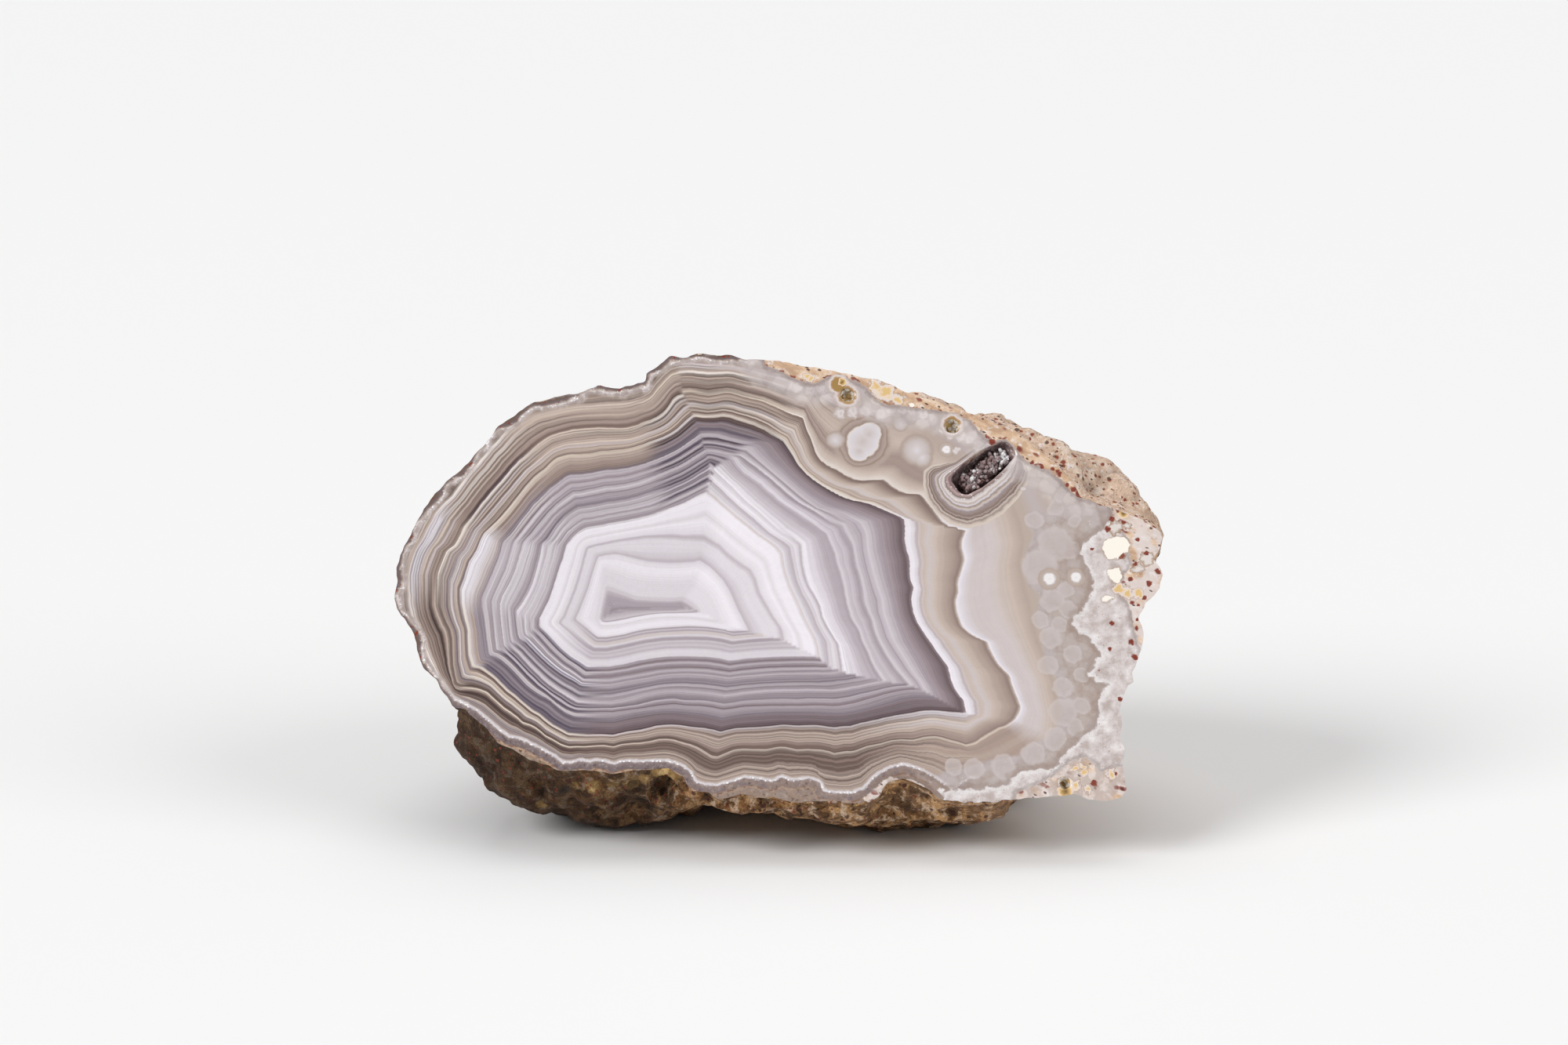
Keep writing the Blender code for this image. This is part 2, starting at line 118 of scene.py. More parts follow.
CREAM_LINE = chained([
    [(1291, 914), (1280, 922), (1270, 925), (1255, 933), (1240, 943.3), (1229, 946.7)],
    [(1220, 943.3), (1210, 941), (1200, 937.5), (1188, 935.8), (1177, 936.7), (1163, 940.3), (1147, 940),
     (1133, 941), (1122, 945), (1107, 947.5), (1097, 950.8), (1088, 954.5), (1073, 955), (1065, 957.8),
     (1057, 955), (1047, 953), (1030, 952), (1017, 953), (1008, 950.8), (1000, 949), (990, 949.7),
     (979, 952.3), (963, 952.3), (948, 951.6), (937, 952.7), (924, 958.4), (916, 961.6)],
    [(909.4, 960.8), (901, 955), (891.6, 949.5), (882, 945.5), (872, 943), (862.6, 940), (853, 938.7),
     (843, 939), (832, 941.5), (819, 943.5), (812.6, 943.4), (796.5, 945), (786, 948)],
    [(774, 946.3), (761, 947), (750, 948), (740, 948), (730, 948.5)],
    [(720, 945.6), (712.5, 941), (706, 937.5), (700, 935), (695, 930), (687.5, 924.4), (680, 921),
     (671, 918.8), (665, 912.5), (656, 906), (647.5, 900.6), (641, 895), (632.5, 887.5), (625, 881),
     (616, 877.5), (607.5, 876), (600, 875.6), (590.4, 875.5), (584, 872)],
    [(579, 850), (577.5, 830), (577, 816), (574, 803), (569, 794.5), (564, 783.6), (560, 771), (559.8, 762),
     (560, 749), (559.8, 732)],
    [(561, 728), (570.6, 702.6), (581, 695), (588.6, 681), (593, 671)],
    [(601, 660), (610, 647), (620, 634), (630, 622), (640, 611), (650, 598), (660, 587.5), (670, 579),
     (680, 570), (687.5, 563.8), (700, 556), (715, 551), (724, 549)],
    [(730, 547.5), (745, 546), (762, 545), (790, 546), (800, 545.4), (809, 543), (820, 537.5), (830, 534.4),
     (840, 529), (846, 524), (851, 517.5), (857, 508), (863, 503), (870, 500.5)],
    [(880, 500), (890, 502), (903, 504), (915, 502), (925, 500), (933, 500.5)],
    [(950, 506), (973, 511), (988, 518), (1010, 528), (1025, 533)],
    [(1029, 548), (1034, 559), (1040, 578), (1046, 587), (1055, 595), (1067, 600), (1080, 609), (1090, 613),
     (1100, 615), (1110, 614), (1126, 612), (1135, 620), (1150, 629), (1160, 631), (1175, 632), (1180, 640),
     (1188, 648), (1200, 665), (1210, 672), (1220, 676), (1232, 677)],
    [(1227, 690), (1226, 700), (1230, 713), (1226, 727), (1221, 740), (1221, 754), (1217, 768), (1220, 785),
     (1225, 798), (1235, 807), (1245, 813), (1257, 817), (1262, 830), (1270, 845), (1280, 855), (1285, 860),
     (1288, 872), (1293, 885), (1299, 899), (1291, 914)],
])
WHITE_LINE = chained([
    [(1228.5, 906.5)],
    [(1218, 906), (1205, 905), (1190, 903.3), (1177, 903.8), (1163, 906.3), (1147, 908.8), (1130, 911.7),
     (1113, 915.8), (1097, 919), (1085, 923), (1073, 923.3), (1065, 925), (1055, 923.3), (1040, 921.7),
     (1017, 922.5), (1000, 921.3), (980, 923.3), (966, 924.5), (940, 925.6), (929, 927.7), (920, 930.2)],
    [(911, 927.7), (901, 925.6), (885, 924.5), (869, 921.8), (859, 921.3), (850, 921.6), (840, 922.6),
     (830, 925.3), (821, 927.7), (804.5, 929.8), (785.5, 934)],
    [(769, 933.4), (753, 934), (740, 933.4), (729, 933)],
    [(719, 927.5), (709, 922.5), (700, 916), (691.1, 908.6), (682.1, 903.6), (676.1, 898.6), (668.6, 892.4),
     (660.1, 884.6), (651.1, 878.6), (643.6, 871.1), (636.1, 863.6), (626.1, 855.6), (617.1, 849.6),
     (606, 848.5)],
    [(602.5, 838), (601, 832), (600, 815), (599.4, 803), (596, 791), (593, 780), (590.5, 766), (590.4, 751)],
    [(595, 739), (598.5, 726), (601, 717), (610, 702.6), (615.6, 688), (620, 680)],
    [(640, 661.3), (650, 649.4), (660, 636.3), (670, 623), (681, 610), (690, 603), (695, 599.4),
     (705, 589.4), (710, 585.6), (720, 582.5), (727.5, 581)],
    [(740, 581.5), (750, 580.6), (760, 578.8), (767, 577), (775, 576.9), (790, 575.2), (800, 573.8),
     (810, 571.3), (820, 568), (830, 564.2), (845, 558.8), (855, 553.8), (865, 547), (872.5, 540),
     (879, 533.8), (884, 529.8)],
    [(895, 531.5), (903, 532), (912, 531.5), (921, 530)],
    [(930, 531), (940, 534.4), (950, 537.5), (960, 540.6), (970, 545), (976, 547.5), (980, 551), (985, 555),
     (998, 563)],
    [(1003, 570), (1010, 580), (1016, 591), (1025, 602), (1036, 612), (1048, 620), (1058, 626), (1070, 633),
     (1082, 638), (1100, 641), (1110, 644), (1125, 650), (1140, 656), (1152, 661)],
    [(1154, 671), (1153, 690), (1155, 700), (1159, 712), (1159, 730), (1160, 740), (1164, 750), (1161, 760),
     (1161, 768), (1163, 780), (1168, 793), (1173, 801), (1180, 812), (1190, 826), (1200, 840), (1207, 850),
     (1209, 862), (1214, 875), (1220, 885), (1225, 890), (1227, 900), (1228.5, 906.5)],
])
LILAC_EDGE = chained([
    [(1190, 886)],
    [(1180, 883.5), (1163, 883.5), (1143, 887), (1130, 891), (1113, 896.5), (1097, 900.5), (1080, 904),
     (1066, 905), (1050, 904), (1030, 903.5), (1000, 903.5), (980, 904), (960, 905), (940, 907.5),
     (922.5, 911)],
    [(911, 908), (897, 905.5), (880, 904), (862, 902.5), (850, 902.5), (838, 903.5), (825.5, 904.8),
     (812.6, 906.8), (800, 909.8), (785, 912.9)],
    [(770, 913), (754.5, 913), (735.5, 912)],
    [(725, 907.5), (718.8, 903), (712.5, 898), (707.2, 892.8), (701.2, 889.4), (693.7, 886.4),
     (686.2, 882.2), (678.7, 877.2), (671.2, 870.9), (663.7, 862.8), (657.2, 856.4), (651.2, 850.3),
     (642.2, 842.8), (632.2, 835.9), (627, 834.4)],
    [(623.7, 816), (621, 798), (619.2, 785.4), (616.9, 773), (616.9, 764)],
    [(619.2, 756.6), (626.4, 740.4), (633.6, 722.4), (639, 708), (643, 690.5)],
    [(650, 684.4), (660, 671), (665, 663.8), (675, 651), (680, 643.8), (690, 635), (695, 629.4), (701, 623),
     (710, 617), (720, 608.8), (726, 605.6)],
    [(740, 605.3), (750, 604), (760, 602), (772.5, 599.6), (785, 599.4), (800, 597), (815, 593.6),
     (825, 590.4), (836.4, 586), (849.3, 580.7), (860.7, 575), (869.3, 570), (878, 563.6), (885, 558.6),
     (890.7, 554.3), (893, 553.6)],
    [(902.5, 553), (916, 554)],
    [(927.5, 558), (941, 561), (952.5, 563.5), (965, 564), (975, 566)],
    [(988, 583), (1003, 598), (1020, 615), (1040, 631), (1062, 642), (1085, 651), (1112, 664)],
    [(1117, 680), (1119, 700), (1124, 720), (1130, 745), (1136, 765), (1139, 782), (1145, 800), (1152, 818),
     (1165, 840), (1176, 860), (1184, 873), (1190, 886)],
])
THICK_DARK = chained([
    [(1175, 878)],
    [(1160, 878.5), (1147, 880), (1130, 884), (1113, 889), (1097, 894), (1080, 898), (1065, 900),
     (1047, 899), (1013, 899.5), (980, 899.5), (950, 900.5), (933.5, 903), (924, 904)],
    [(911, 901.5), (895, 899), (879, 898.5), (862.6, 897), (853, 897.5), (840, 899), (825.5, 901),
     (812.6, 902.5), (800, 904), (784.5, 906)],
    [(756, 906), (740, 905.5), (737, 905)],
    [(725, 900.5), (712.5, 892.5), (698.7, 880.9), (688.7, 874.4), (678.7, 865.4), (671.2, 857.9),
     (663.7, 849.9), (656.2, 842.4), (649.2, 836.4), (641.2, 830.9), (634, 829)],
    [(631.5, 812), (629.5, 794), (627.5, 778), (626, 765.5)],
    [(634, 745.5), (643, 726), (648.5, 708), (653, 690.5)],
    [(659, 683), (668, 670), (678, 657.5), (688, 645.5), (695, 638.5), (703, 631), (713, 622.5), (721, 616),
     (727, 613)],
    [(740, 612.5), (750, 611), (760, 608.8), (775, 606), (790, 605), (800, 603), (815, 599), (830, 594.5),
     (840, 591.5), (850.7, 587), (865, 579.5), (873, 574), (879.3, 570.5), (887, 565), (894.5, 561)],
    [(903, 560.5), (914, 561)],
    [(925, 563.5), (940, 567), (955, 570)],
    [(967, 582), (980, 594), (1000, 611), (1022, 630), (1045, 648), (1070, 655), (1092, 667)],
    [(1100, 680), (1101, 700), (1105, 720), (1112, 745), (1119, 765), (1120, 780), (1126, 797), (1132, 815),
     (1145, 835), (1158, 855), (1167, 865), (1175, 878)],
])
SHARP_DARK = chained([
    [(1157, 871)],
    [(1140, 872), (1125, 875), (1113, 878), (1097, 881.5), (1080, 885.5), (1065, 888), (1047, 887),
     (1030, 887), (1013, 888), (1002, 887.3), (980, 887.8), (966, 888.5), (950, 889.5), (933.5, 892.5),
     (924, 893.5)],
    [(911, 891), (895, 889.3), (875.5, 889.3), (862.6, 887.4), (853, 887.7), (840, 889), (825.5, 892.5),
     (812.6, 896), (800, 897.4), (783, 899.6)],
    [(754.5, 899.5), (738.5, 898)],
    [(731, 895), (725, 891), (719, 886.5), (712.5, 883), (706, 879), (700, 874), (692.5, 868), (685, 860.5),
     (677.5, 854), (670, 846), (662.5, 838), (655, 831.5), (650, 826.5), (646.5, 821)],
    [(645.3, 811), (643, 794.5), (641, 780), (640.5, 769)],
    [(643.5, 760), (651.6, 744), (658, 729.6), (664, 708), (669, 691.5)],
    [(680, 680), (690, 667.5), (700, 655), (710, 644.4), (720, 636.3), (731, 629)],
    [(740, 628.4), (750, 626), (760, 624), (772.5, 621), (785, 620.6), (800, 618), (815, 614.6),
     (825, 610.7), (836, 606.4), (850.7, 600), (865, 594.3), (875, 588.6), (886, 581.4), (895, 576),
     (899, 573.6)],
    [(906, 573.5), (911, 574)],
    [(925, 577), (935, 579), (946, 581)],
    [(955, 587), (968, 596), (985, 610), (1002, 625), (1020, 640), (1040, 650), (1060, 665), (1073, 670)],
    [(1076, 680), (1086, 695), (1088, 705), (1090, 720), (1095, 735), (1098, 750), (1099, 765), (1105, 780),
     (1110, 790), (1113, 805), (1120, 820), (1128, 835), (1140, 852), (1157, 871)],
])
LILAC_STEP = chained([
    [(1127, 867)],
    [(1113, 870), (1097, 873.3), (1080, 876.7), (1065, 879), (1047, 878), (1030, 878), (1000, 878.3),
     (980, 878.8), (950, 881.5), (933.5, 884), (925, 884.8)],
    [(911, 882.6), (895, 881), (875.5, 879.7), (862, 879), (853, 879.4), (840, 880.6), (825.5, 883.4),
     (812.6, 887), (800, 890.5), (782.5, 893.5)],
    [(756, 893.7), (740, 892.5)],
    [(727, 885.5), (715, 878), (703, 869.5), (695, 863), (687.5, 855.5), (680, 848.5), (672.5, 840.5),
     (665, 832.5), (657, 825.5), (650, 818)],
    [(648.5, 810), (646.5, 794.5), (645, 780), (644.5, 769.5)],
    [(648, 760), (656, 744), (662, 729.6), (668.5, 708), (673.5, 692)],
    [(684, 681), (694, 669), (704, 656.5), (714, 646.5), (723, 640), (732.5, 633)],
    [(741, 632.3), (751, 630), (761, 628), (773.5, 625), (786, 624.3), (801, 622), (816, 618.3),
     (826, 614.5), (837, 610), (851.5, 604), (866, 598), (876, 592.3), (887, 585.5), (896, 579.5),
     (900.5, 577)],
    [(906, 576.7), (910.5, 577.5)],
    [(922, 580), (930, 582.5), (936, 586)],
    [(940, 594), (950, 604.5), (960, 611), (970, 617.5), (980, 627), (995, 640), (1010, 650), (1025, 660),
     (1040, 670), (1054, 680)],
    [(1059, 690), (1065, 705), (1068, 718), (1075, 738), (1078, 757), (1081, 772), (1086, 788), (1096, 803),
     (1100, 817), (1107, 832), (1113, 845), (1119, 856), (1127, 867)],
])
BRIGHT_WHITE = chained([
    [(1073.5, 855.5)],
    [(1059, 858.4), (1047, 858), (1039, 858), (1016, 858.6), (1000, 858.6), (974, 860.2), (950, 861.8),
     (930, 864)],
    [(915, 862), (900, 860.3), (880, 859.2), (860, 860), (845, 861.5), (830, 864.5), (814, 867), (800, 869),
     (781.5, 872.3)],
    [(756, 872.8), (744, 871.8)],
    [(735, 866), (725, 861), (718.8, 857.5), (712.5, 853), (703.8, 846), (695, 838.8), (687.5, 831.5),
     (680, 824), (673.8, 818), (667, 812.5)],
    [(665, 807), (663.3, 796.3), (662, 785), (661, 778.5)],
    [(669.7, 767.4), (677, 753), (682, 740.4), (686, 726), (689.5, 711.6), (692.5, 693.5)],
    [(700, 686), (705, 677.5), (710, 670), (715, 663.8), (720, 658.8), (726, 654.4), (732.5, 650.6),
     (737, 647.8)],
    [(760, 644.5), (775, 641.5), (785, 640.5), (800, 637.5), (815, 633.9), (825, 630), (840, 625),
     (850.7, 621.4), (865, 615.4), (875, 610.7), (886, 604), (895, 598), (905.5, 591.5)],
    [(906.5, 592)],
    [(909, 594), (912, 597)],
    [(925, 609), (935, 618), (950, 634), (965, 647), (980, 660.5), (1000, 679), (1010, 685), (1021, 694.5)],
    [(1021.7, 705), (1023, 720), (1025.5, 732.4), (1030, 746), (1037.6, 758), (1045, 771.8), (1048, 785.5),
     (1054, 799), (1061.8, 811), (1067.9, 820), (1070, 832.4), (1072.4, 844.5), (1073.5, 855.5)],
])
INNER_DARK = chained([
    [(1057, 849.3)],
    [(1040, 848.5), (1025.5, 848.7), (1000, 849), (974, 850), (950, 852.5), (931.5, 855)],
    [(915, 852.5), (902, 850.6), (880, 849.8), (865.8, 850), (841.5, 851.7), (818.8, 855.5), (799, 859),
     (780, 862)],
    [(765, 862), (748.3, 861.8)],
    [(744, 858.5), (737.3, 853.5), (730.7, 849), (724, 844.8), (717.3, 839.5), (710.7, 833.5), (704, 827),
     (697.3, 819.5), (690.7, 812.5), (684, 805.5), (680.9, 801.5)],
    [(680.6, 795), (680.5, 787.5)],
    [(686, 776.4), (693, 762), (698.5, 749.4), (702.5, 733.8), (707.5, 717.5), (710.6, 705), (713.3, 694.4)],
    [(720, 685), (726, 677.5), (732.5, 672), (738, 668), (744, 664.3)],
    [(760, 661.9), (775, 658.5), (785, 656.8), (800, 654), (815, 651.2), (830, 647.7), (840, 644),
     (850.7, 639), (865, 631.4), (875, 627), (886, 622), (895, 617), (905, 612)],
    [],
    [(908, 615)],
    [(918, 624.5), (930, 636), (945, 649.5), (960, 661.5), (980, 679.5), (998, 690.5), (1007, 697)],
    [(1008.8, 705), (1011.8, 720), (1016.4, 740), (1022.4, 755), (1028.5, 765.8), (1036, 779.4),
     (1040.6, 793), (1046.7, 805), (1054, 817), (1055.8, 834), (1057, 849.3)],
])
WHITE_ZONE = chained([
    [(1044, 836.5)],
    [(1025, 836), (998, 836.2), (974, 837.3), (950, 839), (931.5, 841.5)],
    [(918, 838.5), (905, 837), (880, 836), (855, 836.2), (838.5, 838), (819, 841), (799, 846), (779, 849)],
    [(765, 849), (751.3, 849)],
    [(740.7, 842), (730.7, 836), (720.7, 828), (715.3, 823), (704, 811), (694, 801), (690.8, 798)],
    [(690.6, 793), (690.5, 788)],
    [(695, 780), (702, 765.6), (707.5, 749.4), (711.9, 733.8), (716, 721), (720, 710), (722, 701),
     (724, 693.8)],
    [(731, 685), (737.5, 678.8), (743, 675.5), (748.8, 673)],
    [(760, 671), (770, 669.4), (777.5, 667.5), (790, 665.6), (800, 663.8), (815, 660.6), (830, 656.9),
     (840, 653), (850.7, 648.6), (865, 643), (875, 638.6), (886, 632.5), (901.5, 624.5)],
    [],
    [(903, 626)],
    [(912, 633), (925, 645), (940, 658), (955, 669.5), (970, 682), (982, 690), (991, 697), (997, 705)],
    [(1001, 728), (1007, 746), (1016.4, 765.8), (1024, 784), (1031.5, 799), (1039, 812.7), (1043, 826),
     (1044, 836.5)],
])
BROWN_LINE = chained([
    [(995, 814)],
    [(971, 815), (956, 816.5), (934.5, 818.8)],
    [(920, 815.5), (902, 813.3), (879, 813), (850.6, 813.8), (826.4, 816.8), (805, 821.4), (788.5, 825),
     (776, 827.4)],
    [(759.7, 827.4)],
    [(750.6, 822), (740, 813), (729.4, 803), (718, 793.5)],
    [(717.8, 792.5)],
    [(723.3, 785.8), (729.4, 770.6), (737, 751), (742.3, 732.7), (747.6, 711.5), (750.3, 700.8)],
    [(750.9, 699.8)],
    [(761, 696.8), (774.8, 694), (788.5, 691), (805, 688.8), (820, 686.5), (845, 686), (870, 688),
     (898, 690)],
    [],
    [(899, 690.6)],
    [(917, 701), (925.5, 709.7), (940.6, 721.8), (952.7, 728.6)],
    [(960, 740), (964.8, 756.7), (974, 771.8), (983, 787), (992, 799), (995, 814)],
])
BROWN_PAIR = chained([
    [(956, 804.5)],
    [(947, 804.6), (936, 805.6)],
    [(925, 802.4), (902, 799.3), (879, 798.6), (857, 800), (841.5, 801), (826.4, 802.4), (811, 805.5),
     (799, 809), (787, 811), (775.5, 812.7)],
    [(763.5, 812.7)],
    [(756.7, 807), (749, 800), (741.5, 794), (735.6, 789)],
    [(735.5, 788.4)],
    [(740, 778), (746, 763), (750.6, 751), (755, 735.8), (759.7, 720.6), (763.6, 709.8)],
    [(764.2, 709)],
    [(774.8, 707), (787, 705.5), (805, 710), (830, 716), (860, 717.5), (885, 716), (893, 714)],
    [],
    [(894, 714.6)],
    [(907, 723), (922.4, 738.5), (930, 750.6)],
    [(936, 762.7), (940.6, 774.8), (948, 788.5), (956, 804.5)],
])
EYE_EDGE = chained([
    [(919, 791.5)],
    [(910, 790.5), (903, 790)],
    [(880, 786.5), (860, 786), (840, 787), (820, 790), (800, 794.5), (785, 796.5), (776, 797)],
    [(768.5, 796.5)],
    [(765, 791), (763, 787)],
    [(763, 786)],
    [(766, 770), (769, 750), (771.4, 730)],
    [(771.8, 727.6)],
    [(787, 734), (802, 740.3), (820, 744), (841.5, 744.8), (864, 745), (882, 744)],
    [],
    [(884, 744.2)],
    [(891.5, 749.4), (902, 758.5)],
    [(906.7, 766), (912.7, 778), (919, 791.5)],
])
CORE_EDGE = chained([
    [(890, 778)],
    [(889, 779), (888.5, 779)],
    [(864, 780.5), (841.5, 781), (826.4, 782.7), (809.7, 785.8), (796, 788.8), (784, 791), (776, 792.4)],
    [(770, 792.4)],
    [(767, 789.5)],
    [(766.8, 788.5)],
    [(769, 775), (772, 762), (774.5, 752)],
    [(775, 751)],
    [(787, 754.7), (799, 759), (811, 763.8), (826, 765), (841.5, 766), (856.7, 766), (869, 765)],
    [],
    [(870, 765.2)],
    [(878, 769), (884, 773)],
    [(887, 775.5), (890, 778)],
])
CORE_SMUDGE: list[Stretch] = (
    [[(872, 775)]] * 2
    + [[(872, 775.5), (840, 776.5), (800, 778), (782, 781)]]
    + [[(782, 781)]] * 5
    + [[(782, 780.5), (800, 777), (840, 775.5), (872, 775)]]
    + [[(872, 775)]] * 4
)
BAND_LINES: list[tuple[float, list[Stretch]]] = [
    (1.0, SPARKLE_LINE), (2.0, CREAM_LINE), (3.0, WHITE_LINE), (4.0, LILAC_EDGE), (4.5, THICK_DARK),
    (5.0, SHARP_DARK), (5.3, LILAC_STEP), (6.0, BRIGHT_WHITE), (6.5, INNER_DARK), (7.0, WHITE_ZONE),
    (8.0, BROWN_LINE), (9.0, BROWN_PAIR), (10.0, EYE_EDGE), (11.0, CORE_EDGE), (12.0, CORE_SMUDGE),
]

# The face's other grounds, as closed outlines in photo pixels. Matrix and crust run on past the rim.
SLOT_OUTLINE: Stretch = [
    (1210, 610), (1218, 601), (1240, 584), (1268, 565), (1283, 562), (1298, 573), (1293, 584), (1278, 598),
    (1262, 610), (1245, 622), (1233, 629), (1222, 627), (1213, 618),
]
SLOT_SURROUND: Stretch = [
    (1178, 600), (1177, 620), (1183, 640), (1195, 656), (1212, 669), (1234, 675), (1258, 669), (1280, 656),
    (1300, 636), (1312, 618), (1316, 600), (1308, 586), (1302, 577), (1290, 562), (1270, 556), (1255, 562),
    (1235, 576), (1218, 588), (1204, 590), (1190, 592),
]
MATRIX_OUTLINES: list[Stretch] = [
    [(975, 464), (1000, 474), (1022, 486), (1042, 488), (1058, 479), (1080, 480), (1103, 490), (1114, 503),
     (1130, 515), (1160, 518), (1200, 523), (1222, 527), (1240, 536), (1250, 548), (1258, 557), (1268, 563),
     (1284, 560), (1299, 572), (1306, 585), (1320, 592), (1334, 598), (1347, 606), (1357, 616), (1366, 626),
     (1378, 635), (1398, 640), (1412, 640), (1419, 652), (1418, 664), (1428, 672), (1440, 690), (1438, 705),
     (1444, 718), (1432, 735), (1425, 750), (1432, 763), (1440, 778), (1443, 800), (1452, 830), (1500, 850),
     (1540, 700), (1480, 520), (1150, 440), (975, 430)],
    [(1290, 1005), (1312, 996), (1335, 985), (1346, 976), (1360, 965), (1378, 961), (1390, 969), (1396, 980),
     (1412, 974), (1430, 971), (1460, 975), (1450, 1040), (1290, 1040)],
    [(1100, 1010), (1112, 1000), (1124, 990), (1133, 985), (1148, 988), (1160, 988), (1172, 994),
     (1184, 1003), (1190, 1025), (1100, 1025)],
]
CRUST_OUTLINES: list[Stretch] = [
    [(1376, 696), (1390, 684), (1404, 676), (1416, 662), (1480, 640), (1520, 1050), (1200, 1050),
     (1195, 1000), (1215, 1001), (1240, 999), (1265, 997), (1281, 994), (1285, 985), (1300, 978),
     (1318, 975), (1338, 973),
     (1346, 964), (1354, 953), (1363, 946), (1370, 938), (1383, 930), (1391, 922), (1396, 908), (1394, 893),
     (1401, 880), (1408, 872), (1391, 868), (1384, 857), (1389, 846), (1398, 836), (1393, 820), (1384, 811),
     (1374, 808), (1364, 797), (1366, 785), (1378, 776), (1386, 760), (1393, 746), (1388, 730), (1380, 714)],
]
CHALK_OUTLINES: list[Stretch] = [
    [(1405, 700), (1408, 690), (1416, 686), (1426, 684), (1436, 686), (1441, 695), (1438, 703), (1430, 707),
     (1425, 712), (1414, 714), (1408, 709)],
    [(1412, 727), (1420, 724), (1427, 723), (1429, 734), (1426, 742), (1417, 743), (1412, 736)],
    [(1402, 763), (1408, 759), (1418, 761), (1411, 767), (1404, 768)],
    [(1158, 515), (1163, 512), (1168, 516), (1164, 521)],
]
BUBBLE_OUTLINES: list[Stretch] = [
    [(1352, 648), (1335, 652), (1312, 650), (1308, 668), (1318, 682), (1308, 700), (1303, 722), (1310, 746),
     (1326, 762), (1318, 780), (1322, 800), (1334, 806), (1324, 822), (1330, 846), (1342, 866), (1344, 888),
     (1350, 900), (1342, 922), (1328, 936), (1306, 944), (1296, 958), (1250, 964), (1225, 974), (1200, 977),
     (1185, 986), (1230, 1010), (1330, 1000), (1380, 960), (1420, 900), (1420, 700), (1400, 650),
     (1370, 640)],
]
GROUNDS: dict[str, list[Stretch]] = {
    "in_slot": [SLOT_OUTLINE], "in_surround": [SLOT_SURROUND], "in_matrix": MATRIX_OUTLINES,
    "in_crust": CRUST_OUTLINES, "in_chalk": CHALK_OUTLINES, "in_bubbles": BUBBLE_OUTLINES,
}


# Measures on the polished face

@dataclass
class FacePlane:
    """The polished face as a plane with its own directions."""

    origin: Vector
    right: Vector
    up: Vector
    outward: Vector

    LEAN_DEGREES = 32.0
    LEFTMOST_U_MM = -36.9
    HIGHEST_V_MM = 23.7
    PHOTO_MIDDLE = (980.0, 740.0)
    MM_PER_PIXEL = (0.0778, 0.0814)
    FLATNESS_M = 1e-6
    SKIN_MM = 0.02

    @classmethod
    def of(cls, stone: bpy.types.Object) -> "FacePlane":
        """Find the plane from the stone's own vertices.

        Args:
            stone: the CAD stone.

        Returns:
            The plane of its polished face.
        """
        lean = math.radians(cls.LEAN_DEGREES)
        up = Vector((0.0, math.sin(lean), math.cos(lean)))
        outward = Vector((0.0, -math.cos(lean), math.sin(lean)))
        places = [vertex.co for vertex in stone.data.vertices]
        front = max(co.dot(outward) for co in places)
        face = [co for co in places if co.dot(outward) > front - cls.FLATNESS_M]
        left = min(co.x for co in face) - cls.LEFTMOST_U_MM * MM
        high = max(co.dot(up) for co in face) - cls.HIGHEST_V_MM * MM
        origin = Vector((left, 0.0, 0.0)) + up * high + outward * front
        return cls(origin, Vector((1.0, 0.0, 0.0)), up, outward)

    def measure(self, co: Vector) -> tuple[float, float, float]:
        """Give u, v and depth of a place, in millimetres."""
        offset = (co - self.origin) / MM
        return offset.dot(self.right), offset.dot(self.up), -offset.dot(self.outward)

    def place(self, u: float, v: float, depth: float = 0.0) -> Vector:
        """Give the place with this u, v and depth."""
        return self.origin + (self.right * u + self.up * v - self.outward * depth) * MM

    @classmethod
    def from_photo(cls, points: Sequence[PhotoPoint]) -> np.ndarray:
        """Turn photo pixels into u and v.

        Args:
            points: places on the polished face, in photo pixels.

        Returns:
            One row of u and v for each.
        """
        pixels = np.asarray(points, float).reshape(-1, 2)
        middle = np.array(cls.PHOTO_MIDDLE)
        return (pixels - middle) * np.array(cls.MM_PER_PIXEL) * np.array((1.0, -1.0))


def distance_to_line(points: np.ndarray, line: np.ndarray, closed: bool = True) -> np.ndarray:
    """Measure how far points lie from a line of straight pieces.

    Args:
        points: rows of u and v.
        line: the corners of the line, rows of u and v.
        closed: whether the last corner is joined to the first.

    Returns:
        The distance of each point, never negative.
    """
    starts = line if closed else line[:-1]
    ends = np.roll(line, -1, 0) if closed else line[1:]
    nearest = np.full(len(points), np.inf)
    for start, end in zip(starts, ends):
        along = end - start
        length = float(along @ along)
        if length == 0.0:
            continue
        share = np.clip(((points - start) @ along) / length, 0.0, 1.0)
        offset = points - start - share[:, None] * along
        nearest = np.minimum(nearest, np.hypot(offset[:, 0], offset[:, 1]))
    return nearest


def lies_inside(points: np.ndarray, outline: np.ndarray) -> np.ndarray:
    """Tell which points lie inside a closed outline.

    Args:
        points: rows of u and v.
        outline: the corners of the outline, rows of u and v.

    Returns:
        True or False for each point.
    """
    odd = np.zeros(len(points), bool)
    for start, end in zip(outline, np.roll(outline, -1, 0)):
        if start[1] == end[1]:
            continue
        crosses = (start[1] > points[:, 1]) != (end[1] > points[:, 1])
        where = start[0] + (points[:, 1] - start[1]) / (end[1] - start[1]) * (end[0] - start[0])
        odd ^= crosses & (points[:, 0] < where)
    return odd


def signed_distance(points: np.ndarray, outline: np.ndarray) -> np.ndarray:
    """Give the distance to a closed outline, above zero inside it."""
    return distance_to_line(points, outline) * np.where(lies_inside(points, outline), 1.0, -1.0)


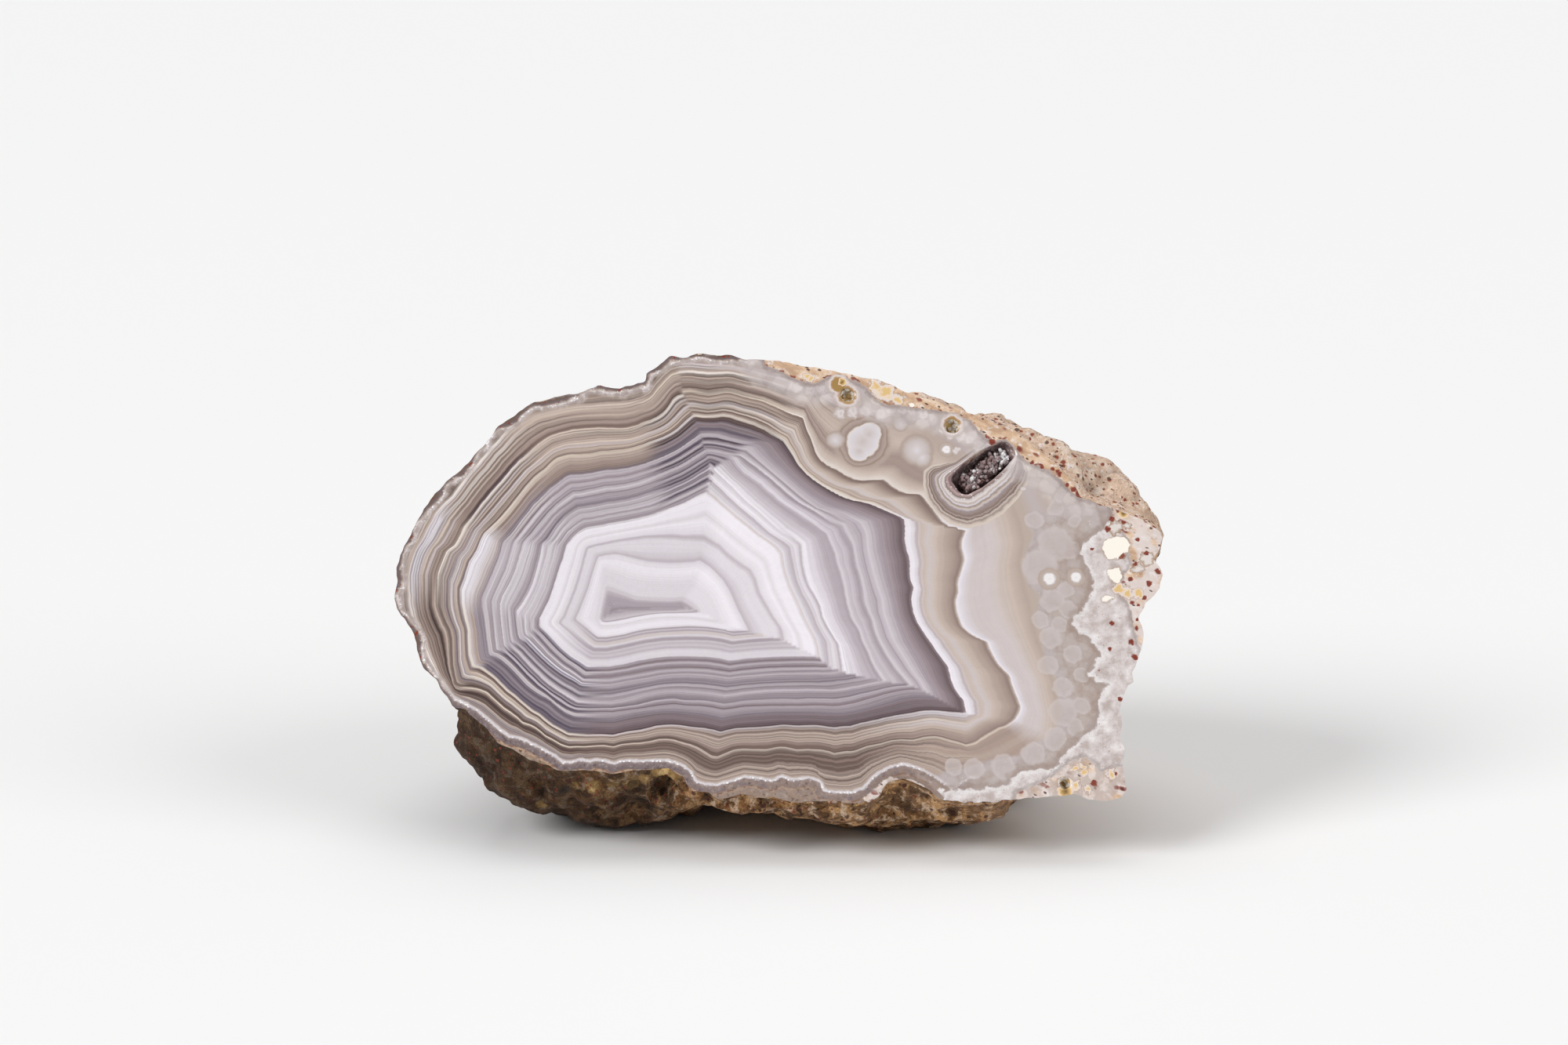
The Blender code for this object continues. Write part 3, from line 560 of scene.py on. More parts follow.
def eased(start: float, end: float, value: float) -> float:
    """Give 0 below start, 1 above end and a smooth rise between them."""
    share = min(max((value - start) / (end - start), 0.0), 1.0)
    return share * share * (3.0 - 2.0 * share)


@dataclass
class PhotoView:
    """The photograph's camera: where it stands and where each of its pixels looks."""

    plane: FacePlane
    lens_mm: float = 100.0
    sensor_mm: float = 36.0
    elevation_degrees: float = 15.0
    aim_u_mm: float = 1.56
    aim_v_mm: float = 5.98
    distance_mm: float = 432.0
    photo_size: tuple[int, int] = (2000, 1333)

    def look(self) -> Vector:
        """Give the direction in which the camera looks."""
        elevation = math.radians(self.elevation_degrees)
        return Vector((0.0, math.cos(elevation), -math.sin(elevation)))

    def eye(self) -> Vector:
        """Give the camera's place."""
        return self.plane.place(self.aim_u_mm, self.aim_v_mm) - self.look() * self.distance_mm * MM

    def ray(self, x: float, y: float) -> Vector:
        """Give the direction in which one pixel of the photograph looks.

        Args:
            x: pixels from the left.
            y: pixels from the top.

        Returns:
            The direction, of length 1.
        """
        look = self.look()
        across, down = self.photo_size
        scale = self.sensor_mm / self.lens_mm / across
        up = Vector((1.0, 0.0, 0.0)).cross(look)
        sideways = Vector((1.0, 0.0, 0.0)) * (x - across / 2.0) * scale
        return (look + sideways + up * (down / 2.0 - y) * scale).normalized()


# The level of the bands over the face

@dataclass
class Strata:
    """The bands as a height field: each traced line stands at its own level, and strips join the lines."""

    steps: int = 48
    surface: BVHTree = field(init=False)
    along_of_face: list[tuple[float, float]] = field(init=False)
    outermost: np.ndarray = field(init=False)

    def __post_init__(self) -> None:
        """Build the strips between neighbouring lines."""
        corners: list[tuple[float, float, float]] = []
        quads: list[tuple[int, ...]] = []
        self.along_of_face = []
        for (low, outer), (high, inner) in zip(BAND_LINES, BAND_LINES[1:]):
            for stretch, (outer_part, inner_part) in enumerate(zip(outer, inner)):
                near = self.spread(outer_part)
                far = self.spread(inner_part)
                for step in range(self.steps - 1):
                    first = len(corners)
                    for line, level in ((near, low), (far, high)):
                        corners.append((*line[step], level))
                        corners.append((*line[step + 1], level))
                    quads.append((first, first + 1, first + 3))
                    quads.append((first, first + 3, first + 2))
                    place = stretch + (step + 0.5) / (self.steps - 1)
                    self.along_of_face += [(stretch, place), (stretch, place)]
        self.surface = BVHTree.FromPolygons(corners, quads, epsilon=0.0)
        self.outermost = np.concatenate([FacePlane.from_photo(part) for part in BAND_LINES[0][1]])

    def spread(self, stretch: Stretch) -> np.ndarray:
        """Spread evenly spaced points along one stretch of a line.

        Args:
            stretch: the stretch's own points, in photo pixels.

        Returns:
            As many points as there are steps, in millimetres.
        """
        line = FacePlane.from_photo(stretch)
        sides = np.hypot(*np.diff(line, axis=0).T) if len(line) > 1 else np.zeros(0)
        run = np.concatenate(([0.0], np.cumsum(sides)))
        if run[-1] == 0.0:
            return np.repeat(line[:1], self.steps, 0)
        wanted = np.linspace(0.0, run[-1], self.steps)
        return np.stack([np.interp(wanted, run, line[:, axis]) for axis in (0, 1)], 1)

    def measure(self, points: np.ndarray) -> tuple[np.ndarray, np.ndarray]:
        """Find the level of each point, and how far round the stone it lies.

        Args:
            points: rows of u and v.

        Returns:
            The level, and the place along the lines from 0 to 13.
        """
        down = Vector((0.0, 0.0, -1.0))
        above = 99.0
        levels = np.zeros(len(points))
        places = np.zeros(len(points))
        missed = []
        for index, (u, v) in enumerate(points):
            hit, _, face, _ = self.surface.ray_cast(Vector((u, v, above)), down)
            if hit is None:
                missed.append(index)
                continue
            levels[index] = hit.z
            places[index] = self.along_of_face[face][1]
        if missed:
            outside = distance_to_line(points[missed], self.outermost)
            inner = ~lies_inside(points[missed], self.outermost)
            innermost_level = BAND_LINES[-1][0] + 0.5
            levels[missed] = np.where(inner, 1.0 - outside / OUTSIDE_MM_A_LEVEL, innermost_level)
            for index in missed:
                u, v = points[index]
                _, _, face, _ = self.surface.find_nearest(Vector((u, v, 1.0)))
                places[index] = self.along_of_face[face][1]
        return levels, places


# Blender helpers

def select_only(item: bpy.types.Object) -> None:
    """Deselect everything and make one object the active one."""
    bpy.ops.object.select_all(action="DESELECT")
    item.select_set(True)
    bpy.context.view_layer.objects.active = item


def copy_of_node(node: bpy.types.Object, name: str) -> bpy.types.Object:
    """Copy a CAD node's mesh into a new object, with its loose triangles merged.

    Args:
        node: the CAD node.
        name: the new object's name.

    Returns:
        The new object, without a material.
    """
    mesh = node.data.copy()
    mesh.materials.clear()
    item = bpy.data.objects.new(name, mesh)
    bpy.context.scene.collection.objects.link(item)
    select_only(item)
    bpy.ops.object.mode_set(mode="EDIT")
    bpy.ops.mesh.select_all(action="SELECT")
    bpy.ops.mesh.remove_doubles(threshold=SAME_PLACE)
    bpy.ops.object.mode_set(mode="OBJECT")
    return item


def choose_faces(item: bpy.types.Object, wanted: Callable[[bpy.types.MeshPolygon], bool]) -> None:
    """Select the faces of an object, in object mode, that a test picks.

    Args:
        item: the object.
        wanted: the test for one face.
    """
    mesh = item.data
    chosen = np.array([wanted(polygon) for polygon in mesh.polygons], bool)
    mesh.vertices.foreach_set("select", np.zeros(len(mesh.vertices), bool))
    mesh.edges.foreach_set("select", np.zeros(len(mesh.edges), bool))
    mesh.polygons.foreach_set("select", chosen)


def vertex_places(mesh: bpy.types.Mesh) -> np.ndarray:
    """Read all vertex places of a mesh as rows of x, y and z."""
    flat = np.zeros(len(mesh.vertices) * 3)
    mesh.vertices.foreach_get("co", flat)
    return flat.reshape(-1, 3)


def lay_number(mesh: bpy.types.Mesh, name: str, values: np.ndarray) -> None:
    """Store one number for each vertex as a named attribute."""
    layer = mesh.attributes.new(name, "FLOAT", "POINT")
    layer.data.foreach_set("value", np.ascontiguousarray(values, np.float32))


# Tones and band charts

class Tone(Enum):
    """The stone's own tones, and the shade painted on its rind, as screen red, green and blue."""

    SNOW = (231, 226, 231)
    MILK = (217, 211, 216)
    PALE_LILAC = (204, 197, 202)
    LILAC = (190, 181, 187)
    GREY_LILAC = (174, 164, 170)
    DUSK = (158, 147, 153)
    SLATE = (142, 132, 139)
    DEEP_LILAC = (125, 114, 124)
    DARK_LILAC = (107, 97, 108)
    INK = (88, 79, 95)
    NIGHT = (62, 53, 64)
    STEEL = (144, 140, 158)
    BONE = (223, 214, 208)
    CREAM = (214, 200, 187)
    PALE_TAN = (201, 186, 176)
    TAN = (185, 169, 159)
    DEEP_TAN = (169, 152, 144)
    TAUPE = (152, 135, 127)
    BROWN = (133, 115, 108)
    DARK_BROWN = (112, 94, 88)
    UMBER = (88, 70, 68)
    ROSE_WHITE = (207, 197, 196)
    ROSE = (189, 177, 177)
    PLUM = (155, 142, 146)
    DEEP_PLUM = (135, 121, 125)
    DARK_PLUM = (113, 98, 102)
    AUBERGINE = (92, 77, 82)
    RUST = (121, 86, 70)
    GROUND_TAUPE = (150, 130, 119)
    GROUND_BEIGE = (176, 157, 147)
    BUBBLE = (197, 186, 184)
    BUBBLE_EDGE = (171, 153, 146)
    CRUST = (221, 211, 209)
    CRUST_BRIGHT = (238, 233, 233)
    CRUST_SHADE = (203, 188, 183)
    CHALK = (250, 243, 232)
    MATRIX = (216, 182, 150)
    MATRIX_PALE = (233, 211, 190)
    MATRIX_DIM = (190, 156, 128)
    SPECK = (132, 58, 42)
    SPECK_DARK = (74, 36, 30)
    AMBER = (222, 188, 128)
    OLIVE = (165, 131, 78)
    # painted shade, laid in the rind's pits and hollows
    PIT_SHADE = (44, 33, 27)
    BARK = (164, 126, 90)
    BARK_PALE = (214, 178, 140)
    BARK_GREY = (150, 122, 96)
    BARK_DARK = (96, 70, 48)
    BARK_DEEP = (54, 35, 20)
    SMOKE = (184, 160, 158)
    SMOKE_DARK = (134, 110, 110)
    GLINT = (250, 249, 250)

    def linear(self) -> tuple[float, float, float, float]:
        """Give the tone as linear red, green and blue with full alpha."""
        return (*(linear_of(part / 255.0) for part in self.value), 1.0)


def linear_of(part: float) -> float:
    """Turn one screen value from 0 to 1 into a linear one."""
    return part / 12.92 if part <= 0.04045 else ((part + 0.055) / 1.055) ** 2.4


T = Tone
Chart = list[tuple[float, Tone]]


class Side(Enum):
    """The sides of the stone whose bands differ, each with its places round the stone and their weights."""

    FLOOR = ((0.3, 0.0), (0.95, 1.0), (3.1, 1.0), (4.2, 0.0))
    DIAGONAL = ((3.1, 0.0), (4.2, 0.85), (4.45, 1.0), (4.88, 1.0), (5.02, 0.0))
    LEFT = ((4.88, 0.0), (5.02, 1.0), (5.6, 1.0), (6.1, 0.0))
    PALE_LEFT = ((5.6, 0.0), (6.1, 1.0), (6.9, 1.0), (7.15, 0.0))
    SHOULDER = ((6.9, 0.0), (7.15, 1.0), (7.5, 1.0), (7.85, 0.0))
    CROWN = ((7.5, 0.0), (7.85, 1.0), (8.5, 1.0), (8.72, 0.0))
    PEAK_LEFT = ((8.5, 0.0), (8.72, 1.0), (8.97, 1.0), (9.03, 0.0))
    PEAK = ((8.97, 0.0), (9.03, 1.0), (10.6, 1.0), (10.98, 0.0))
    RIGHT_TOP = ((10.6, 0.0), (10.98, 1.0), (11.7, 1.0), (12.1, 0.0))
    RIGHT = ((0.3, 1.0), (0.95, 0.0), (11.7, 0.0), (12.1, 1.0), (13.0, 1.0))


# Parts of the face that are drawn in another way, each as its places round the stone and their weights.
REGIONS: dict[str, tuple[tuple[float, float], ...]] = {
    "below_heart": ((1.0, 1.0), (4.0, 1.0), (4.9, 0.0)),
    "at_right": ((0.9, 1.0), (1.25, 0.0), (11.0, 0.0), (11.3, 1.0)),
    "low_right": ((0.0, 0.0), (0.25, 1.0), (1.15, 1.0), (1.45, 0.0)),
    "at_bottom": ((0.9, 0.0), (1.25, 1.0), (4.95, 1.0), (5.25, 0.0)),
}


def weight_at(along: np.ndarray, stations: tuple[tuple[float, float], ...]) -> np.ndarray:
    """Give the weight at places round the stone, from the places and weights of a side or a region."""
    places, weights = zip(*stations)
    return np.interp(along, places, weights)


# From the outermost line to the middle: the levels of each zone, and the tones that each chart passes.
OUTER_ZONE = (1.0, 3.0)
MIDDLE_ZONE = (3.0, 5.0)
INNER_ZONE = (5.0, 7.1)
HEART_ZONE = (7.1, 10.0)
CORE_ZONE = (10.0, 12.0)
ZONE_SEAM = 0.001

OUTER_CHARTS: dict[Side, Chart] = {
    Side.FLOOR: [
        (1.0, T.TAN), (1.07, T.TAN), (1.14, T.DEEP_TAN), (1.2, T.TAN), (1.3, T.TAUPE), (1.4, T.TAN),
        (1.46, T.DEEP_TAN), (1.57, T.DARK_BROWN), (1.66, T.BROWN), (1.73, T.DARK_BROWN), (1.8, T.BROWN),
        (1.88, T.BROWN), (1.95, T.TAUPE), (1.985, T.PALE_TAN), (2.02, T.PALE_TAN), (2.08, T.DARK_BROWN),
        (2.2, T.BROWN), (2.34, T.DEEP_TAN), (2.39, T.DEEP_TAN), (2.5, T.TAN), (2.6, T.TAN),
        (2.66, T.DEEP_TAN), (2.71, T.TAN), (2.79, T.TAUPE), (2.88, T.DEEP_TAN), (2.95, T.ROSE),
        (3.0, T.ROSE_WHITE),
    ],
    Side.DIAGONAL: [
        (1.0, T.DEEP_TAN), (1.09, T.TAN), (1.16, T.PLUM), (1.24, T.DEEP_TAN), (1.32, T.SLATE),
        (1.45, T.PALE_TAN), (1.55, T.DARK_BROWN), (1.63, T.BROWN), (1.74, T.UMBER), (1.88, T.DARK_BROWN),
        (1.94, T.DEEP_TAN), (1.98, T.CREAM), (2.04, T.CREAM), (2.09, T.TAUPE), (2.15, T.UMBER),
        (2.31, T.TAUPE), (2.4, T.DEEP_LILAC), (2.46, T.DEEP_TAN), (2.52, T.BONE), (2.62, T.CREAM),
        (2.7, T.TAN), (2.75, T.PALE_TAN), (2.81, T.TAUPE), (2.86, T.BROWN), (2.92, T.DARK_BROWN),
        (2.96, T.TAN), (3.0, T.BONE),
    ],
    Side.LEFT: [
        (1.0, T.TAUPE), (1.08, T.ROSE), (1.2, T.BONE), (1.3, T.DEEP_TAN), (1.44, T.TAUPE), (1.5, T.TAUPE),
        (1.59, T.BROWN), (1.65, T.TAUPE), (1.76, T.UMBER), (1.82, T.BROWN), (1.9, T.DEEP_TAN),
        (1.96, T.PALE_TAN), (2.04, T.BROWN), (2.12, T.TAUPE), (2.2, T.TAN), (2.3, T.DEEP_TAN),
        (2.38, T.DEEP_LILAC), (2.46, T.DEEP_TAN), (2.56, T.ROSE_WHITE), (2.66, T.ROSE),
        (2.74, T.DEEP_TAN), (2.8, T.TAN), (2.88, T.DEEP_TAN), (2.95, T.SLATE), (3.0, T.TAN),
    ],
    Side.PALE_LEFT: [
        (1.0, T.ROSE), (1.06, T.PALE_TAN), (1.12, T.TAN), (1.22, T.PALE_LILAC), (1.34, T.MILK),
        (1.49, T.ROSE), (1.55, T.PALE_TAN), (1.62, T.TAN), (1.68, T.ROSE), (1.8, T.DEEP_TAN),
        (1.85, T.TAN), (1.92, T.BROWN), (1.98, T.TAN), (2.05, T.BONE), (2.18, T.TAN), (2.25, T.ROSE),
        (2.36, T.DEEP_TAN), (2.44, T.PLUM), (2.54, T.ROSE_WHITE), (2.61, T.ROSE), (2.65, T.ROSE_WHITE),
        (2.72, T.ROSE), (2.77, T.PALE_TAN), (2.86, T.DEEP_TAN), (2.93, T.PLUM), (2.975, T.ROSE_WHITE),
        (3.0, T.MILK),
    ],
    Side.SHOULDER: [
        (1.0, T.DARK_BROWN), (1.07, T.DARK_BROWN), (1.2, T.BONE), (1.27, T.ROSE), (1.31, T.PALE_TAN),
        (1.36, T.BROWN), (1.44, T.BONE), (1.53, T.TAUPE), (1.57, T.PALE_TAN), (1.62, T.TAUPE),
        (1.68, T.TAN), (1.8, T.BROWN), (1.85, T.DEEP_TAN), (1.93, T.UMBER), (2.0, T.DARK_PLUM),
        (2.06, T.BONE), (2.18, T.DARK_BROWN), (2.25, T.ROSE_WHITE), (2.32, T.DEEP_TAN), (2.36, T.TAN),
        (2.44, T.DARK_BROWN), (2.53, T.ROSE_WHITE), (2.6, T.ROSE), (2.65, T.PALE_TAN), (2.71, T.TAUPE),
        (2.76, T.PALE_TAN), (2.82, T.TAUPE), (2.85, T.DEEP_TAN), (2.9, T.BROWN), (2.95, T.TAN),
        (3.0, T.BONE),
    ],
    Side.CROWN: [
        (1.0, T.TAUPE), (1.12, T.TAN), (1.2, T.DEEP_TAN), (1.3, T.PALE_TAN), (1.42, T.TAN),
        (1.53, T.DEEP_TAN), (1.59, T.TAN), (1.72, T.TAUPE), (1.81, T.DEEP_TAN), (1.9, T.BROWN),
        (1.96, T.BROWN), (2.0, T.TAN), (2.03, T.PALE_TAN), (2.08, T.TAN), (2.12, T.PALE_TAN),
        (2.25, T.TAN), (2.41, T.DEEP_TAN), (2.55, T.PALE_TAN), (2.63, T.ROSE), (2.71, T.TAN),
        (2.77, T.TAN), (2.91, T.TAUPE), (2.96, T.CREAM), (3.0, T.CREAM),
    ],
    Side.PEAK_LEFT: [
        (1.0, T.BROWN), (1.07, T.DARK_BROWN), (1.18, T.PALE_TAN), (1.29, T.TAUPE), (1.38, T.CREAM),
        (1.51, T.DEEP_TAN), (1.54, T.TAN), (1.58, T.DEEP_TAN), (1.67, T.TAN), (1.75, T.TAUPE),
        (1.82, T.DEEP_TAN), (1.9, T.BROWN), (1.97, T.DARK_BROWN), (2.07, T.BONE), (2.2, T.DARK_BROWN),
        (2.27, T.ROSE_WHITE), (2.35, T.TAUPE), (2.39, T.TAN), (2.46, T.DARK_BROWN), (2.56, T.ROSE_WHITE),
        (2.62, T.ROSE), (2.66, T.PALE_TAN), (2.73, T.TAUPE), (2.78, T.PALE_TAN), (2.84, T.BROWN),
        (2.87, T.TAUPE), (2.91, T.DARK_BROWN), (2.96, T.ROSE_WHITE), (3.0, T.BONE),
    ],
    Side.PEAK: [
        (1.0, T.TAUPE), (1.12, T.ROSE), (1.19, T.ROSE_WHITE), (1.29, T.DEEP_TAN), (1.36, T.BONE),
        (1.46, T.TAUPE), (1.51, T.TAN), (1.55, T.TAUPE), (1.62, T.PALE_TAN), (1.71, T.BROWN),
        (1.76, T.DEEP_TAN), (1.81, T.DARK_BROWN), (1.88, T.TAN), (1.97, T.CREAM), (2.03, T.BROWN),
        (2.15, T.TAN), (2.21, T.TAUPE), (2.26, T.TAN), (2.34, T.BROWN), (2.47, T.ROSE_WHITE),
        (2.58, T.PALE_TAN), (2.65, T.TAUPE), (2.72, T.PALE_TAN), (2.79, T.BROWN), (2.84, T.TAUPE),
        (2.9, T.TAN), (2.97, T.BONE), (3.0, T.CREAM),
    ],
    Side.RIGHT_TOP: [
        (1.0, T.ROSE), (1.2, T.TAN), (1.45, T.PALE_TAN), (1.64, T.DEEP_TAN), (1.75, T.DEEP_TAN),
        (1.88, T.PALE_TAN), (1.98, T.BONE), (2.0, T.TAUPE), (2.03, T.BROWN), (2.12, T.TAUPE),
        (2.3, T.TAN), (2.44, T.PALE_TAN), (2.6, T.ROSE_WHITE), (2.68, T.TAN), (2.71, T.TAN),
        (2.75, T.PALE_TAN), (2.81, T.DEEP_TAN), (2.87, T.CREAM), (2.92, T.BONE), (2.97, T.BONE),
        (3.0, T.AUBERGINE),
    ],
    Side.RIGHT: [
        (1.0, T.TAN), (1.2, T.PALE_TAN), (1.5, T.ROSE_WHITE), (1.8, T.ROSE_WHITE), (1.93, T.MILK),
        (1.985, T.SNOW), (2.02, T.TAN), (2.06, T.TAUPE), (2.14, T.DEEP_TAN), (2.3, T.TAN), (2.45, T.PALE_TAN),
        (2.6, T.ROSE_WHITE), (2.7, T.PALE_TAN), (2.75, T.ROSE_WHITE), (2.79, T.ROSE), (2.84, T.MILK),
        (2.9, T.SNOW), (2.985, T.SNOW), (3.0, T.PLUM),
    ],
}

LOW_RIGHT_CHART: Chart = [
    (1.0, T.GROUND_BEIGE), (1.25, T.TAN), (1.5, T.GROUND_BEIGE), (1.62, T.TAN), (1.75, T.GROUND_BEIGE),
    (1.86, T.DEEP_TAN), (1.95, T.GROUND_BEIGE), (1.985, T.CREAM), (2.015, T.PALE_TAN), (2.05, T.TAUPE),
    (2.2, T.DEEP_TAN), (2.4, T.TAN), (2.6, T.ROSE_WHITE), (2.72, T.PALE_TAN), (2.85, T.ROSE), (2.95, T.MILK),
    (3.0, T.MILK),
]

MIDDLE_CHARTS: dict[Side, Chart] = {
    Side.FLOOR: [
        (3.0, T.ROSE_WHITE), (3.02, T.ROSE), (3.08, T.AUBERGINE), (3.18, T.DARK_PLUM), (3.25, T.DARK_PLUM),
        (3.4, T.DEEP_PLUM), (3.62, T.DEEP_PLUM), (3.72, T.DEEP_PLUM), (3.9, T.SLATE), (4.1, T.DUSK),
        (4.45, T.GREY_LILAC), (4.55, T.GREY_LILAC), (4.63, T.DEEP_PLUM), (4.75, T.DUSK),
        (4.91, T.LILAC), (4.97, T.DUSK), (5.0, T.SLATE),
    ],
    Side.DIAGONAL: [
        (3.0, T.BONE), (3.07, T.CREAM), (3.12, T.DUSK), (3.2, T.DARK_LILAC), (3.28, T.DEEP_LILAC),
        (3.38, T.INK), (3.5, T.SLATE), (3.58, T.DEEP_LILAC), (3.73, T.DUSK), (3.86, T.DEEP_LILAC),
        (3.97, T.DARK_LILAC), (4.05, T.SLATE), (4.12, T.DEEP_LILAC), (4.19, T.PALE_LILAC),
        (4.29, T.LILAC), (4.38, T.ROSE_WHITE), (4.46, T.SLATE), (4.6, T.INK), (4.7, T.DEEP_LILAC),
        (4.77, T.PALE_LILAC), (4.87, T.LILAC), (4.94, T.DARK_LILAC), (4.98, T.INK), (5.0, T.INK),
    ],
    Side.LEFT: [
        (3.0, T.TAN), (3.05, T.BONE), (3.13, T.BONE), (3.26, T.ROSE), (3.39, T.DEEP_TAN), (3.45, T.TAN),
        (3.55, T.PLUM), (3.66, T.GREY_LILAC), (3.85, T.SLATE), (3.94, T.DUSK), (3.99, T.SLATE),
        (4.06, T.LILAC), (4.14, T.PALE_LILAC), (4.24, T.LILAC), (4.3, T.ROSE_WHITE), (4.44, T.GREY_LILAC),
        (4.57, T.DUSK), (4.62, T.PALE_LILAC), (4.7, T.PALE_LILAC), (4.79, T.GREY_LILAC),
        (4.86, T.LILAC), (4.95, T.DUSK), (4.985, T.LILAC), (5.0, T.PALE_LILAC),
    ],
    Side.PALE_LEFT: [
        (3.0, T.MILK), (3.05, T.SNOW), (3.4, T.MILK), (3.6, T.ROSE_WHITE), (3.78, T.ROSE),
        (3.93, T.PLUM), (3.97, T.DUSK), (4.02, T.PALE_LILAC), (4.13, T.LILAC), (4.24, T.PALE_LILAC),
        (4.45, T.LILAC), (4.57, T.GREY_LILAC), (4.63, T.PALE_LILAC), (4.75, T.PALE_LILAC),
        (4.96, T.GREY_LILAC), (5.0, T.LILAC),
    ],
    Side.SHOULDER: [
        (3.0, T.BONE), (3.05, T.CREAM), (3.14, T.PALE_TAN), (3.25, T.DEEP_TAN), (3.33, T.BROWN),
        (3.42, T.TAN), (3.5, T.PLUM), (3.62, T.DEEP_TAN), (3.75, T.PLUM), (3.85, T.DEEP_PLUM),
        (3.92, T.DUSK), (3.97, T.DEEP_LILAC), (4.06, T.PALE_LILAC), (4.13, T.ROSE_WHITE),
        (4.23, T.GREY_LILAC), (4.33, T.ROSE_WHITE), (4.46, T.GREY_LILAC), (4.57, T.DEEP_PLUM),
        (4.63, T.PALE_LILAC), (4.7, T.PALE_LILAC), (4.79, T.PLUM), (4.84, T.GREY_LILAC),
        (4.93, T.SLATE), (4.985, T.LILAC), (5.0, T.PALE_LILAC),
    ],
    Side.CROWN: [
        (3.0, T.CREAM), (3.06, T.PALE_TAN), (3.2, T.TAN), (3.5, T.DEEP_TAN), (3.75, T.TAUPE),
        (3.94, T.DEEP_PLUM), (3.99, T.DUSK), (4.04, T.LILAC), (4.11, T.LILAC), (4.2, T.LILAC),
        (4.3, T.LILAC), (4.48, T.GREY_LILAC), (4.6, T.PLUM), (4.65, T.LILAC), (4.78, T.GREY_LILAC),
        (4.95, T.DUSK), (4.99, T.LILAC), (5.0, T.LILAC),
    ],
    Side.PEAK_LEFT: [
        (3.0, T.BONE), (3.05, T.DUSK), (3.14, T.AUBERGINE), (3.21, T.BROWN), (3.31, T.NIGHT),
        (3.41, T.PLUM), (3.5, T.DEEP_PLUM), (3.62, T.PLUM), (3.73, T.DARK_LILAC), (3.79, T.DEEP_LILAC),
        (3.84, T.DARK_LILAC), (3.91, T.SLATE), (3.96, T.DARK_LILAC), (4.03, T.LILAC), (4.11, T.LILAC),
        (4.21, T.GREY_LILAC), (4.31, T.LILAC), (4.42, T.DEEP_LILAC), (4.56, T.INK), (4.63, T.DUSK),
        (4.7, T.LILAC), (4.76, T.DUSK), (4.83, T.NIGHT), (4.9, T.DUSK), (4.97, T.DARK_LILAC),
        (5.0, T.SLATE),
    ],
    Side.PEAK: [
        (3.0, T.CREAM), (3.03, T.TAUPE), (3.09, T.AUBERGINE), (3.15, T.DARK_BROWN), (3.24, T.AUBERGINE),
        (3.37, T.PLUM), (3.47, T.DEEP_PLUM), (3.57, T.PLUM), (3.67, T.DARK_LILAC), (3.78, T.DEEP_LILAC),
        (3.9, T.DUSK), (4.05, T.LILAC), (4.25, T.GREY_LILAC), (4.32, T.DARK_LILAC), (4.4, T.AUBERGINE),
        (4.5, T.DEEP_LILAC), (4.57, T.GREY_LILAC), (4.64, T.LILAC), (4.7, T.SLATE), (4.75, T.INK),
        (4.82, T.DUSK), (4.9, T.SLATE), (4.97, T.GREY_LILAC), (5.0, T.GREY_LILAC),
    ],
    Side.RIGHT_TOP: [
        (3.0, T.AUBERGINE), (3.15, T.DARK_PLUM), (3.4, T.DEEP_PLUM), (3.75, T.PLUM), (4.1, T.DUSK),
        (4.45, T.LILAC), (4.54, T.LILAC), (4.62, T.PALE_LILAC), (4.75, T.DUSK), (4.88, T.LILAC),
        (5.0, T.MILK),
    ],
    Side.RIGHT: [
        (3.0, T.PLUM), (3.03, T.DEEP_PLUM), (3.12, T.DARK_PLUM), (3.35, T.DEEP_PLUM), (3.65, T.PLUM),
        (4.0, T.GREY_LILAC), (4.35, T.PALE_LILAC), (4.43, T.LILAC), (4.48, T.LILAC),
        (4.55, T.GREY_LILAC), (4.7, T.LILAC), (4.92, T.PALE_LILAC), (5.0, T.GREY_LILAC),
    ],
}

